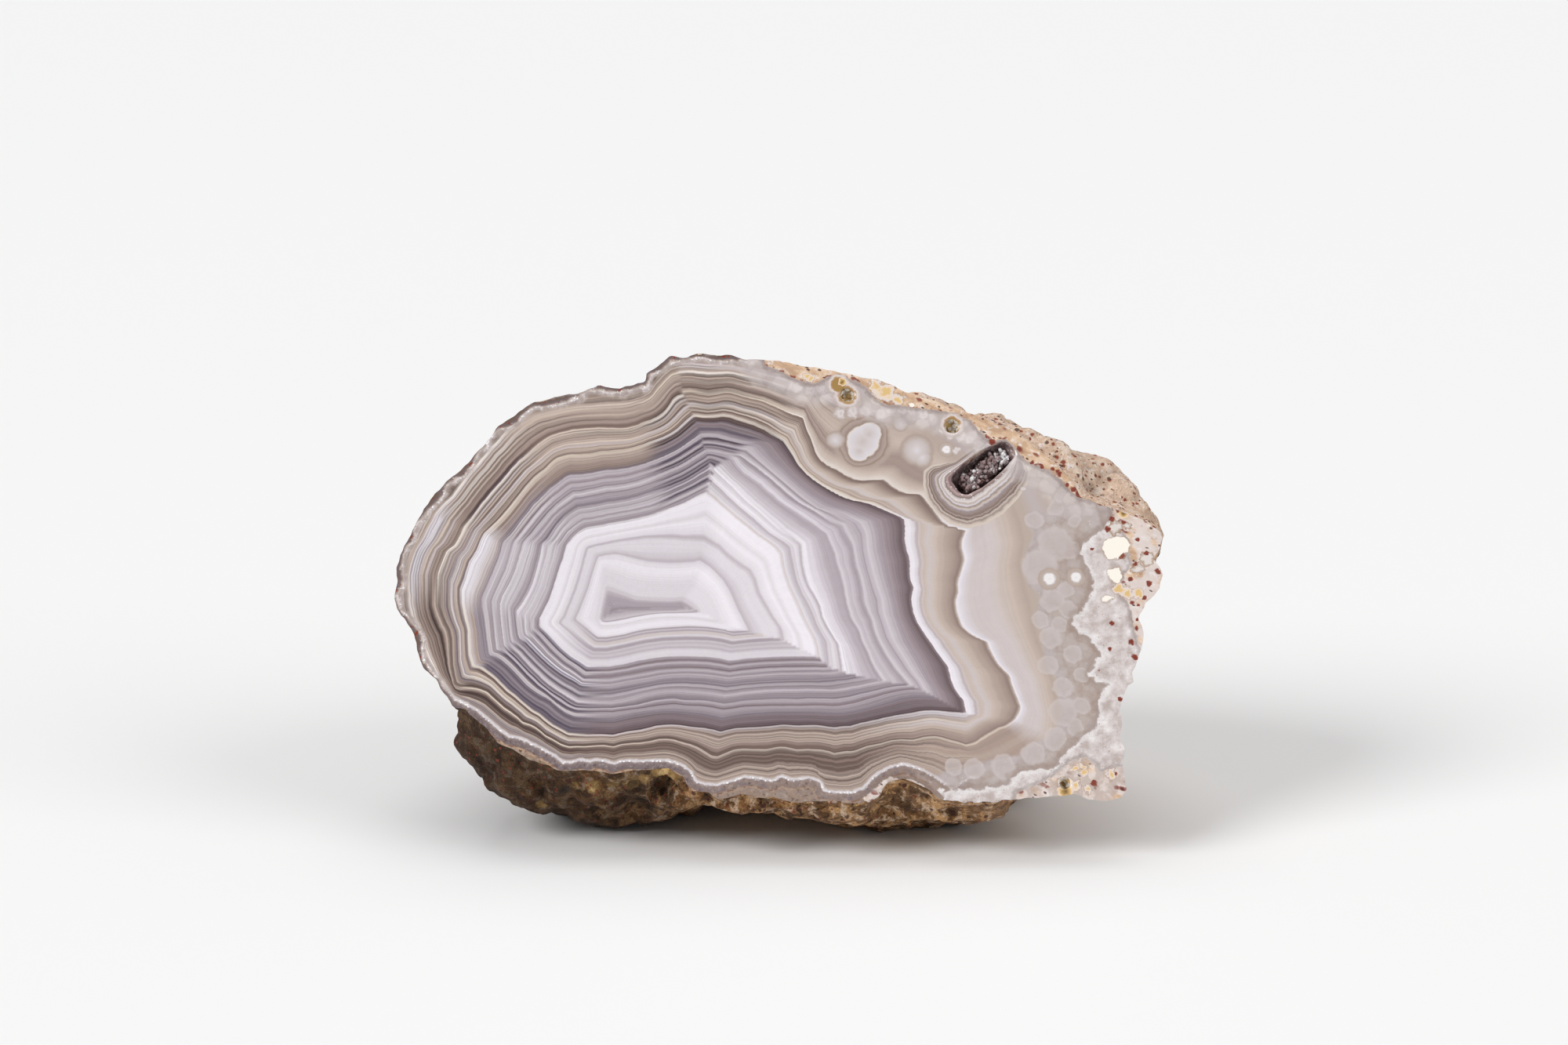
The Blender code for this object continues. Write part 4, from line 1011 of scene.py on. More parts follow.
INNER_CHARTS: dict[Side, Chart] = {
    Side.FLOOR: [
        (5.0, T.SLATE), (5.02, T.SLATE), (5.09, T.DUSK), (5.15, T.DUSK), (5.29, T.LILAC),
        (5.48, T.DUSK), (5.54, T.GREY_LILAC), (5.58, T.LILAC), (5.68, T.SLATE), (5.75, T.DUSK),
        (5.82, T.SLATE), (5.92, T.GREY_LILAC), (6.0, T.GREY_LILAC), (6.07, T.LILAC), (6.17, T.DUSK),
        (6.38, T.LILAC), (6.46, T.GREY_LILAC), (6.52, T.DEEP_PLUM), (6.62, T.DUSK), (6.75, T.LILAC),
        (6.84, T.DEEP_PLUM), (6.92, T.DUSK), (7.0, T.GREY_LILAC), (7.06, T.MILK), (7.1, T.MILK),
    ],
    Side.DIAGONAL: [
        (5.0, T.INK), (5.07, T.GREY_LILAC), (5.17, T.DEEP_LILAC), (5.25, T.DUSK), (5.31, T.MILK),
        (5.42, T.LILAC), (5.5, T.SLATE), (5.57, T.DARK_LILAC), (5.66, T.PALE_LILAC), (5.79, T.DEEP_LILAC),
        (5.86, T.DUSK), (5.96, T.INK), (6.02, T.LILAC), (6.08, T.STEEL), (6.14, T.SNOW), (6.21, T.SLATE),
        (6.25, T.GREY_LILAC), (6.28, T.DUSK), (6.34, T.MILK), (6.41, T.GREY_LILAC), (6.48, T.DEEP_LILAC),
        (6.58, T.DUSK), (6.64, T.PALE_LILAC), (6.69, T.LILAC), (6.74, T.PALE_LILAC), (6.79, T.DUSK),
        (6.84, T.INK), (6.92, T.DUSK), (6.97, T.STEEL), (7.03, T.MILK), (7.1, T.SNOW),
    ],
    Side.LEFT: [
        (5.0, T.PALE_LILAC), (5.15, T.PALE_LILAC), (5.35, T.LILAC), (5.47, T.GREY_LILAC),
        (5.55, T.PALE_LILAC), (5.74, T.GREY_LILAC), (5.89, T.SLATE), (5.97, T.PALE_LILAC),
        (6.04, T.LILAC), (6.11, T.PALE_LILAC), (6.18, T.GREY_LILAC), (6.28, T.MILK), (6.43, T.GREY_LILAC),
        (6.5, T.PALE_LILAC), (6.64, T.LILAC), (6.82, T.DUSK), (6.95, T.DUSK), (7.01, T.MILK),
        (7.1, T.SNOW),
    ],
    Side.PALE_LEFT: [
        (5.0, T.PALE_LILAC), (5.06, T.MILK), (5.3, T.PALE_LILAC), (5.5, T.PALE_LILAC), (5.7, T.LILAC),
        (5.86, T.DUSK), (5.91, T.GREY_LILAC), (5.95, T.GREY_LILAC), (6.01, T.MILK), (6.07, T.MILK),
        (6.15, T.LILAC), (6.24, T.MILK), (6.33, T.PALE_LILAC), (6.41, T.LILAC), (6.46, T.PALE_LILAC),
        (6.65, T.LILAC), (6.9, T.DUSK), (6.96, T.GREY_LILAC), (7.01, T.SNOW), (7.1, T.SNOW),
    ],
    Side.SHOULDER: [
        (5.0, T.LILAC), (5.03, T.PALE_LILAC), (5.2, T.LILAC), (5.34, T.GREY_LILAC), (5.42, T.DUSK),
        (5.5, T.LILAC), (5.58, T.LILAC), (5.71, T.DUSK), (5.77, T.GREY_LILAC), (5.93, T.DEEP_LILAC),
        (6.0, T.LILAC), (6.05, T.GREY_LILAC), (6.11, T.MILK), (6.23, T.DUSK), (6.29, T.MILK),
        (6.38, T.LILAC), (6.46, T.DUSK), (6.53, T.PALE_LILAC), (6.66, T.LILAC), (6.81, T.DUSK),
        (6.88, T.GREY_LILAC), (6.95, T.DUSK), (7.03, T.MILK), (7.1, T.SNOW),
    ],
    Side.CROWN: [
        (5.0, T.LILAC), (5.11, T.PALE_LILAC), (5.3, T.LILAC), (5.46, T.DUSK), (5.52, T.GREY_LILAC),
        (5.7, T.GREY_LILAC), (5.9, T.SLATE), (5.98, T.GREY_LILAC), (6.02, T.GREY_LILAC),
        (6.08, T.PALE_LILAC), (6.2, T.GREY_LILAC), (6.27, T.PALE_LILAC), (6.37, T.LILAC),
        (6.47, T.GREY_LILAC), (6.53, T.PALE_LILAC), (6.7, T.GREY_LILAC), (6.94, T.DUSK),
        (7.0, T.PALE_LILAC), (7.1, T.MILK),
    ],
    Side.PEAK_LEFT: [
        (5.0, T.SLATE), (5.04, T.LILAC), (5.2, T.LILAC), (5.36, T.DUSK), (5.45, T.DUSK), (5.51, T.INK),
        (5.57, T.GREY_LILAC), (5.63, T.LILAC), (5.7, T.SLATE), (5.76, T.DARK_LILAC), (5.84, T.DUSK),
        (5.91, T.DARK_LILAC), (5.96, T.INK), (6.03, T.GREY_LILAC), (6.08, T.DEEP_LILAC),
        (6.14, T.PALE_LILAC), (6.2, T.DEEP_LILAC), (6.24, T.DUSK), (6.28, T.SLATE), (6.35, T.LILAC),
        (6.45, T.INK), (6.55, T.DUSK), (6.7, T.PALE_LILAC), (6.78, T.GREY_LILAC), (6.85, T.SLATE),
        (6.94, T.GREY_LILAC), (7.0, T.DUSK), (7.05, T.MILK), (7.1, T.SNOW),
    ],
    Side.PEAK: [
        (5.0, T.LILAC), (5.13, T.LILAC), (5.35, T.GREY_LILAC), (5.45, T.DARK_LILAC), (5.52, T.DUSK),
        (5.59, T.LILAC), (5.66, T.DUSK), (5.73, T.DARK_LILAC), (5.8, T.SLATE), (5.91, T.INK),
        (6.0, T.GREY_LILAC), (6.05, T.LILAC), (6.13, T.MILK), (6.25, T.SLATE), (6.33, T.MILK),
        (6.45, T.PALE_LILAC), (6.51, T.DEEP_LILAC), (6.6, T.PALE_LILAC), (6.66, T.MILK),
        (6.8, T.LILAC), (6.93, T.PALE_LILAC), (7.01, T.LILAC), (7.07, T.SNOW), (7.1, T.SNOW),
    ],
    Side.RIGHT_TOP: [
        (5.0, T.MILK), (5.03, T.LILAC), (5.07, T.DUSK), (5.15, T.LILAC), (5.25, T.MILK),
        (5.32, T.LILAC), (5.37, T.GREY_LILAC), (5.58, T.LILAC), (5.8, T.PALE_LILAC), (6.05, T.SNOW),
        (6.15, T.PALE_LILAC), (6.33, T.SNOW), (6.44, T.MILK), (6.51, T.LILAC), (6.7, T.PALE_LILAC),
        (6.95, T.MILK), (7.03, T.ROSE_WHITE), (7.1, T.SNOW),
    ],
    Side.RIGHT: [
        (5.0, T.GREY_LILAC), (5.03, T.GREY_LILAC), (5.12, T.LILAC), (5.29, T.PALE_LILAC),
        (5.34, T.GREY_LILAC), (5.6, T.LILAC), (5.95, T.SNOW), (6.02, T.LILAC), (6.12, T.PALE_LILAC),
        (6.3, T.MILK), (6.46, T.PALE_LILAC), (6.55, T.LILAC), (6.75, T.PALE_LILAC), (6.92, T.MILK),
        (7.0, T.ROSE_WHITE), (7.07, T.MILK), (7.1, T.SNOW),
    ],
}

HEART_FLOOR: Chart = [
    (7.1, T.MILK), (7.35, T.MILK), (7.45, T.PALE_LILAC), (7.53, T.LILAC), (7.64, T.PALE_LILAC),
    (7.77, T.LILAC), (7.87, T.PALE_LILAC), (7.95, T.GREY_LILAC), (8.1, T.GREY_LILAC), (8.2, T.PALE_LILAC),
    (8.3, T.MILK), (8.42, T.ROSE_WHITE), (8.6, T.ROSE_WHITE), (8.72, T.GREY_LILAC), (8.8, T.LILAC),
    (8.87, T.PALE_LILAC), (8.96, T.GREY_LILAC), (9.03, T.GREY_LILAC), (9.12, T.MILK), (9.3, T.SNOW),
    (9.6, T.SNOW), (10.0, T.MILK),
]
HEART_ABOVE: Chart = [
    (7.1, T.SNOW), (7.35, T.SNOW), (7.48, T.MILK), (7.6, T.SNOW), (7.85, T.MILK), (7.93, T.LILAC),
    (8.0, T.PALE_LILAC), (8.08, T.MILK), (8.5, T.MILK), (8.8, T.PALE_LILAC), (8.97, T.LILAC),
    (9.06, T.MILK), (9.4, T.SNOW), (10.0, T.MILK),
]
CORE_FLOOR: Chart = [
    (10.0, T.MILK), (10.35, T.SNOW), (10.75, T.SNOW), (10.93, T.LILAC), (11.0, T.GREY_LILAC),
    (11.08, T.LILAC), (11.2, T.PALE_LILAC), (11.6, T.LILAC), (12.0, T.GREY_LILAC),
]
CORE_ABOVE: Chart = [
    (10.0, T.MILK), (10.35, T.MILK), (10.7, T.MILK), (10.88, T.PALE_LILAC), (11.0, T.PALE_LILAC),
    (11.12, T.LILAC), (11.35, T.GREY_LILAC), (11.7, T.GREY_LILAC), (11.9, T.DUSK), (12.0, T.GREY_LILAC),
]


@dataclass(frozen=True)
class SpotLook:
    """How one kind of round spot looks, from its middle out; places are shares of its radius."""

    full_to: float
    gone_at: float
    tones: Chart
    spots: list[tuple[float, float, float]] = field(default_factory=list)

    REACH = (0.0, 2.0)


FACE_SPOTS: dict[str, SpotLook] = {
    "bubbles": SpotLook(0.8, 1.06, [
        (0.0, T.BUBBLE), (0.5, T.BUBBLE), (0.88, T.ROSE_WHITE), (0.98, T.BUBBLE), (2.0, T.BUBBLE_EDGE),
    ], [
        (1345, 694, 25), (1325, 722, 25), (1341, 766, 17), (1318, 663, 13), (1324, 790, 12), (1337, 813, 15),
        (1333, 846, 14), (1376, 860, 11), (1370, 665, 9), (1358, 752, 12), (1275, 972, 17), (1352, 874, 15),
        (1351, 906, 20), (1340, 938, 16), (1312, 957, 16), (1238, 975, 14), (1212, 974, 12), (1365, 832, 13),
        (1374, 897, 12), (1366, 925, 12), (1364, 702, 13), (1360, 777, 12), (1348, 796, 11), (1347, 648, 12),
    ]),
    "halo_eyes": SpotLook(1.5, 1.95, [
        (0.0, T.BUBBLE), (0.3, T.ROSE_WHITE), (0.8, T.MILK), (0.93, T.BONE), (0.99, T.TAN),
        (1.05, T.GROUND_TAUPE), (1.22, T.DEEP_TAN), (1.36, T.GROUND_BEIGE), (1.44, T.GROUND_TAUPE),
        (1.55, T.GROUND_BEIGE), (1.75, T.TAN), (2.0, T.TAN),
    ], [(1101, 563, 21.5), (1109, 553, 16), (1096, 575, 14)]),
    "faint_eyes": SpotLook(0.95, 1.3, [
        (0.0, T.MILK), (0.35, T.ROSE_WHITE), (0.7, T.BUBBLE), (0.92, T.TAN), (1.1, T.DEEP_TAN),
        (2.0, T.TAUPE),
    ], [(1170, 574, 19), (1177, 584, 12), (1066, 561, 11), (1150, 540, 9)]),
    "small_eyes": SpotLook(1.5, 1.9, [
        (0.0, T.CRUST), (0.25, T.CRUST_BRIGHT), (0.7, T.CRUST_BRIGHT), (0.95, T.BUBBLE), (1.1, T.TAN),
        (1.4, T.TAN), (1.7, T.GROUND_BEIGE), (2.0, T.GROUND_BEIGE),
    ], [(1337, 738, 8.5), (1371, 736, 7.5), (1208, 573, 6)]),
    "sparkling_lumps": SpotLook(0.7, 1.2, [
        (0.0, T.BUBBLE), (0.5, T.CRUST), (0.8, T.BUBBLE), (1.0, T.TAN), (2.0, T.TAN),
    ], [
        (1072, 527, 9), (1089, 525, 8), (1104, 525, 9), (1124, 528, 9), (1138, 523, 7), (1152, 520, 7),
        (1165, 524, 7), (1178, 527, 8), (1190, 531, 6), (1205, 549, 6), (1215, 554, 8), (1226, 557, 8),
        (1238, 561, 8), (1250, 566, 8), (1262, 568, 5), (1018, 492, 8), (1034, 496, 8), (1006, 489, 7),
        (1048, 493, 6), (1221, 574, 5), (1306, 623, 5),
    ]),
}
MARGIN_SPOTS: dict[str, SpotLook] = {
    "hollow_rims": SpotLook(1.4, 1.8, [
        (0.0, T.OLIVE), (0.9, T.OLIVE), (1.05, T.MATRIX_DIM), (1.2, T.CRUST), (1.5, T.CRUST_SHADE),
        (1.7, T.TAN), (2.0, T.TAN),
    ], [(1216, 541, 10), (1081, 503, 11), (1070, 489, 9)]),
    "ambers": SpotLook(0.9, 1.2, [
        (0.0, T.AMBER), (0.4, T.AMBER), (0.65, T.MATRIX_PALE), (0.9, T.CRUST), (1.05, T.BARK), (2.0, T.BARK),
    ], [
        (1030, 477, 6), (1036, 481, 5), (1119, 491, 10), (1130, 499, 13), (1146, 508, 9), (1429, 641, 6),
        (1456, 648, 6), (1398, 627, 5), (1411, 625, 5), (1425, 751, 9), (1436, 756, 8), (1363, 975, 5),
        (1374, 972, 5), (1376, 981, 5), (1352, 991, 8), (1410, 982, 7), (1365, 995, 7), (1449, 757, 7),
        (1380, 1000, 6),
    ]),
    "olives": SpotLook(0.95, 1.2, [
        (0.0, T.BARK_DARK), (0.4, T.OLIVE), (0.7, T.AMBER), (0.95, T.MATRIX_PALE), (2.0, T.MATRIX_DIM),
    ], [(1433, 654, 7), (1075, 486, 5), (1352, 1003, 9)]),
    "lenses": SpotLook(0.95, 1.15, [
        (0.0, T.CRUST), (0.5, T.BONE), (0.85, T.TAN), (1.0, T.BARK), (2.0, T.MATRIX_DIM),
    ], [(1422, 673, 9), (1438, 671, 6), (1450, 725, 8), (1462, 712, 9)]),
    "red_grains": SpotLook(0.55, 0.95, [
        (0.0, T.SPECK_DARK), (0.3, T.SPECK), (0.7, T.SPECK), (1.0, T.BARK), (2.0, T.MATRIX_DIM),
    ], [
        (1412, 675, 5), (1418, 662, 5), (1429, 709, 7), (1433, 666, 4), (1426, 651, 4), (1415, 794, 4),
        (1439, 818, 5), (1412, 826, 4), (1443, 837, 5), (1423, 889, 4), (1450, 688, 3.5), (1461, 706, 4),
        (1447, 719, 4), (1475, 729, 5), (1440, 738, 4), (1463, 744, 5), (1441, 768, 4), (1457, 762, 4),
        (1449, 771, 3), (1392, 700, 3), (1388, 992, 5), (1416, 981, 3), (1267, 563, 6), (1404, 642, 4),
        (1420, 633, 4), (1352, 605, 4), (1350, 601, 4), (1362, 619, 4), (1371, 624, 6), (1376, 630, 5),
        (1302, 572, 5), (1318, 590, 4), (1330, 595, 4), (1344, 598, 4), (1446, 801, 4), (1448, 790, 3),
    ]),
}

# On the rind, as the photograph shows it: x, y and radius in its pixels. Behind them stands the share of the
# radius that a hollow is deep, or the height of a low swell in millimetres.
RIND_HOLLOWS: list[tuple[float, float, float, float]] = [
    (853, 990, 15, 0.9), (738, 1014, 8, 0.8), (772, 1026, 10, 0.6), (790, 1034, 9, 0.5), (765, 1003, 8, 0.5),
    (845, 1002, 7, 0.6), (812, 1010, 7, 0.6), (805, 1001, 8, 0.4), (782, 1001, 8, 0.5), (730, 1005, 6, 0.5),
    (688, 1024, 8, 0.6), (676, 1030, 8, 0.6), (640, 985, 9, 0.4), (665, 975, 7, 0.4), (905, 1016, 9, 0.4),
    (952, 1004, 7, 0.6), (700, 1000, 8, 0.3), (1145, 1015, 9, 0.3), (1085, 1018, 10, 0.3),
    (1215, 1030, 8, 0.3),
]
RIND_SWELLS: list[tuple[float, float, float, float]] = [
    (1290, 552, 90, 1.0), (1345, 577, 120, 1.4), (1400, 600, 90, 1.0), (1250, 534, 70, 0.5),
    (600, 955, 70, 0.9), (640, 990, 70, 0.9), (690, 1025, 70, 0.7), (900, 1010, 90, 1.3),
    (955, 1010, 110, 1.9), (1010, 1015, 110, 1.9), (1070, 1025, 80, 1.2),
]
RIND_AMBERS: list[tuple[float, float, float]] = [
    (850, 984, 19), (873, 988, 9), (757, 1003, 10), (782, 1001, 8), (806, 1001, 10), (690, 1024, 7),
    (738, 1012, 7), (732, 1004, 6), (822, 994, 8), (1040, 1002, 6), (1352, 1004, 9), (1078, 1016, 7),
]

# On the map for baking, for the rind's left, right, under and upper side and its back: the two axes that the
# side is laid out by, then the left, bottom, right and top of its patch.
BAKE_PATCHES: list[tuple[int, int, float, float, float, float]] = [
    (1, 2, 0.39, 0.005, 0.68, 0.2), (1, 2, 0.7, 0.005, 0.99, 0.2), (0, 2, 0.01, 0.225, 0.49, 0.39),
    (0, 2, 0.51, 0.225, 0.99, 0.39), (0, 1, 0.01, 0.005, 0.37, 0.215),
]


# Material helpers

class Wire:
    """One socket on its way through a material. Sums, differences and products add Math nodes."""

    def __init__(self, paint: "Paint", socket: bpy.types.NodeSocket) -> None:
        """Wrap a socket of one material."""
        self.paint = paint
        self.socket = socket

    def maths(self, operation: str, *others: "Value") -> "Wire":
        """Add one Math node.

        Args:
            operation: Blender's name of the operation.
            others: its second and third numbers.

        Returns:
            The node's result.
        """
        values = {index + 1: other for index, other in enumerate(others)}
        return self.paint.node("ShaderNodeMath", {"operation": operation}, {0: self, **values})

    def __add__(self, other: "Value") -> "Wire":
        """Add."""
        return self.maths("ADD", other)

    __radd__ = __add__

    def __sub__(self, other: "Value") -> "Wire":
        """Take away."""
        return self.maths("SUBTRACT", other)

    def __rsub__(self, other: float) -> "Wire":
        """Take this from a plain number."""
        return self.maths("MULTIPLY", -1.0).maths("ADD", other)

    def __mul__(self, other: "Value") -> "Wire":
        """Multiply."""
        return self.maths("MULTIPLY", other)

    __rmul__ = __mul__

    def __truediv__(self, other: "Value") -> "Wire":
        """Divide."""
        return self.maths("DIVIDE", other)

    def at_least(self, other: "Value") -> "Wire":
        """Take the larger."""
        return self.maths("MAXIMUM", other)

    def at_most(self, other: "Value") -> "Wire":
        """Take the smaller."""
        return self.maths("MINIMUM", other)

    def size(self) -> "Wire":
        """Drop the sign."""
        return self.maths("ABSOLUTE")

    def rise(self, start: float, end: float) -> "Wire":
        """Give 0 at start, 1 at end and a smooth way between; start may be the larger.

        Args:
            start: where the result is 0.
            end: where the result is 1.

        Returns:
            The result.
        """
        turned = start > end
        low, high = (end, start) if turned else (start, end)
        made = self.paint.node(
            "ShaderNodeMapRange",
            {"interpolation_type": "SMOOTHSTEP"},
            {"Value": self, "From Min": low, "From Max": high},
        )
        return 1.0 - made if turned else made

    def bump_at(self, middle: float, half_width: float) -> "Wire":
        """Give 1 at the middle and 0 half a width away on both sides."""
        return (self - middle).size().rise(half_width, 0.0)


Value = Union[Wire, float]
Colour = Union[Wire, Tone, tuple[float, float, float, float]]


class Paint:
    """One material under construction."""

    def __init__(self, name: str) -> None:
        """Start a material with its Principled surface."""
        self.material = bpy.data.materials.new(name)
        self.material.use_nodes = True
        self.tree = self.material.node_tree
        self.surface = self.tree.nodes["Principled BSDF"]

    def node(
        self, kind: str, settings: dict = None, values: dict = None, output: Union[int, str] = 0
    ) -> Wire:
        """Add any node.

        Args:
            kind: the node's type.
            settings: its own settings, such as an operation or a ramp's stops.
            values: what its sockets are set or linked to.
            output: which of its outputs is wanted.

        Returns:
            That output.
        """
        made = self.tree.nodes.new(kind)
        for name, setting in (settings or {}).items():
            if name == "stops":
                self.set_stops(made.color_ramp, setting)
            else:
                setattr(made, name, setting)
        for name, value in (values or {}).items():
            self.feed(made.inputs[name], value)
        return Wire(self, made.outputs[output])

    def feed(self, socket: bpy.types.NodeSocket, value: object) -> None:
        """Link a wire to a socket, or set the socket to a plain value."""
        if isinstance(value, Wire):
            self.tree.links.new(value.socket, socket)
        elif isinstance(value, Tone):
            socket.default_value = value.linear()
        else:
            socket.default_value = value

    @staticmethod
    def set_stops(ramp: bpy.types.ColorRamp, stops: list[tuple[float, tuple]]) -> None:
        """Give a colour ramp its stops.

        Args:
            ramp: the ramp.
            stops: places from 0 to 1 in rising order, each with its colour.
        """
        ramp.interpolation = "LINEAR"
        ramp.elements[0].position = stops[0][0]
        ramp.elements[0].color = stops[0][1]
        ramp.elements[1].position = stops[-1][0]
        ramp.elements[1].color = stops[-1][1]
        for place, colour in stops[1:-1]:
            ramp.elements.new(place).color = colour

    def attribute(self, name: str) -> Wire:
        """Read a number that the mesh carries."""
        return self.node("ShaderNodeAttribute", {"attribute_name": name}, output="Fac")

    def mix(self, factor: Value, first: Colour, second: Colour) -> Wire:
        """Go from a first colour to a second one.

        Args:
            factor: 0 for the first colour, 1 for the second.
            first: the first colour.
            second: the second colour.

        Returns:
            The blended colour.
        """
        values = {0: factor, 6: first, 7: second}
        return self.node("ShaderNodeMix", {"data_type": "RGBA"}, values, output=2)

    def chart(self, level: Value, zone: tuple[float, float], bands: Chart) -> Wire:
        """Colour a zone of levels by a chart of bands.

        Args:
            level: the level at the point.
            zone: the zone's lowest and highest level.
            bands: levels in rising order, each with its tone.

        Returns:
            The colour.
        """
        low, high = zone
        stops = [((place - low) / (high - low), tone.linear()) for place, tone in bands]
        share = (level - low) * (1.0 / (high - low))
        return self.node("ShaderNodeValToRGB", {"stops": stops}, {0: share})

    def noise(self, place: Wire, per_mm: float, detail: float = 2.0, roughness: float = 0.5) -> Wire:
        """Give a soft random number from 0 to 1, with so many waves a millimetre."""
        values = {"Vector": place, "Scale": per_mm, "Detail": detail, "Roughness": roughness}
        return self.node("ShaderNodeTexNoise", None, values)

    def scaled(self, vector: Wire, factor: Value) -> Wire:
        """Multiply a vector or a colour by one number."""
        return self.node("ShaderNodeVectorMath", {"operation": "SCALE"}, {0: vector, "Scale": factor})

    def shaken(self, place: Wire, per_mm: float, by_mm: float) -> Wire:
        """Shift a place about at random, so that what is drawn there gets an uneven outline.

        Args:
            place: the place.
            per_mm: how many waves a millimetre.
            by_mm: the full width of the shift.

        Returns:
            The shifted place.
        """
        values = {"Vector": place, "Scale": per_mm, "Detail": 2.0}
        shift = self.node("ShaderNodeTexNoise", None, values, "Color")
        shift = self.node("ShaderNodeVectorMath", {"operation": "SUBTRACT"}, {0: shift, 1: (0.5, 0.5, 0.5)})
        shift = self.scaled(shift, by_mm)
        return self.node("ShaderNodeVectorMath", {"operation": "ADD"}, {0: place, 1: shift})

    def cell_pair(self, place: Wire, per_mm: float) -> tuple[Wire, Wire]:
        """Give a cell pattern's distance to the nearest middle, and a random number for each cell."""
        near = self.node("ShaderNodeTexVoronoi", None, {"Vector": place, "Scale": per_mm}, "Distance")
        return near, Wire(self, near.socket.node.outputs["Color"]) * 1.0

    def nearest(self, place: Wire, middles: list[tuple[Vector, float]]) -> Wire:
        """Measure the distance to the nearest of several spots, each with its own radius as 1."""
        first, *others = (self.distance(place, middle) * (1.0 / radius) for middle, radius in middles)
        for near in others:
            first = first.at_most(near)
        return first

    def dot(self, first: Wire, second: Sequence[float]) -> Wire:
        """Multiply two vectors into one number."""
        values = {0: first, 1: second}
        return self.node("ShaderNodeVectorMath", {"operation": "DOT_PRODUCT"}, values, "Value")

    def distance(self, place: Wire, middle: Sequence[float]) -> Wire:
        """Measure how far a place lies from a fixed point."""
        values = {0: place, 1: middle}
        return self.node("ShaderNodeVectorMath", {"operation": "DISTANCE"}, values, "Value")

    def vector(self, x: Value, y: Value, z: Value = 0.0) -> Wire:
        """Join three numbers into a vector."""
        return self.node("ShaderNodeCombineXYZ", None, {0: x, 1: y, 2: z})

    def bump(self, height: Wire, distance_mm: float) -> Wire:
        """Turn a height from 0 to 1 into a normal.

        Args:
            height: the height.
            distance_mm: how many millimetres a height of 1 stands for.

        Returns:
            The normal.
        """
        values = {"Strength": 1.0, "Distance": distance_mm * MM, "Height": height}
        return self.node("ShaderNodeBump", None, values)


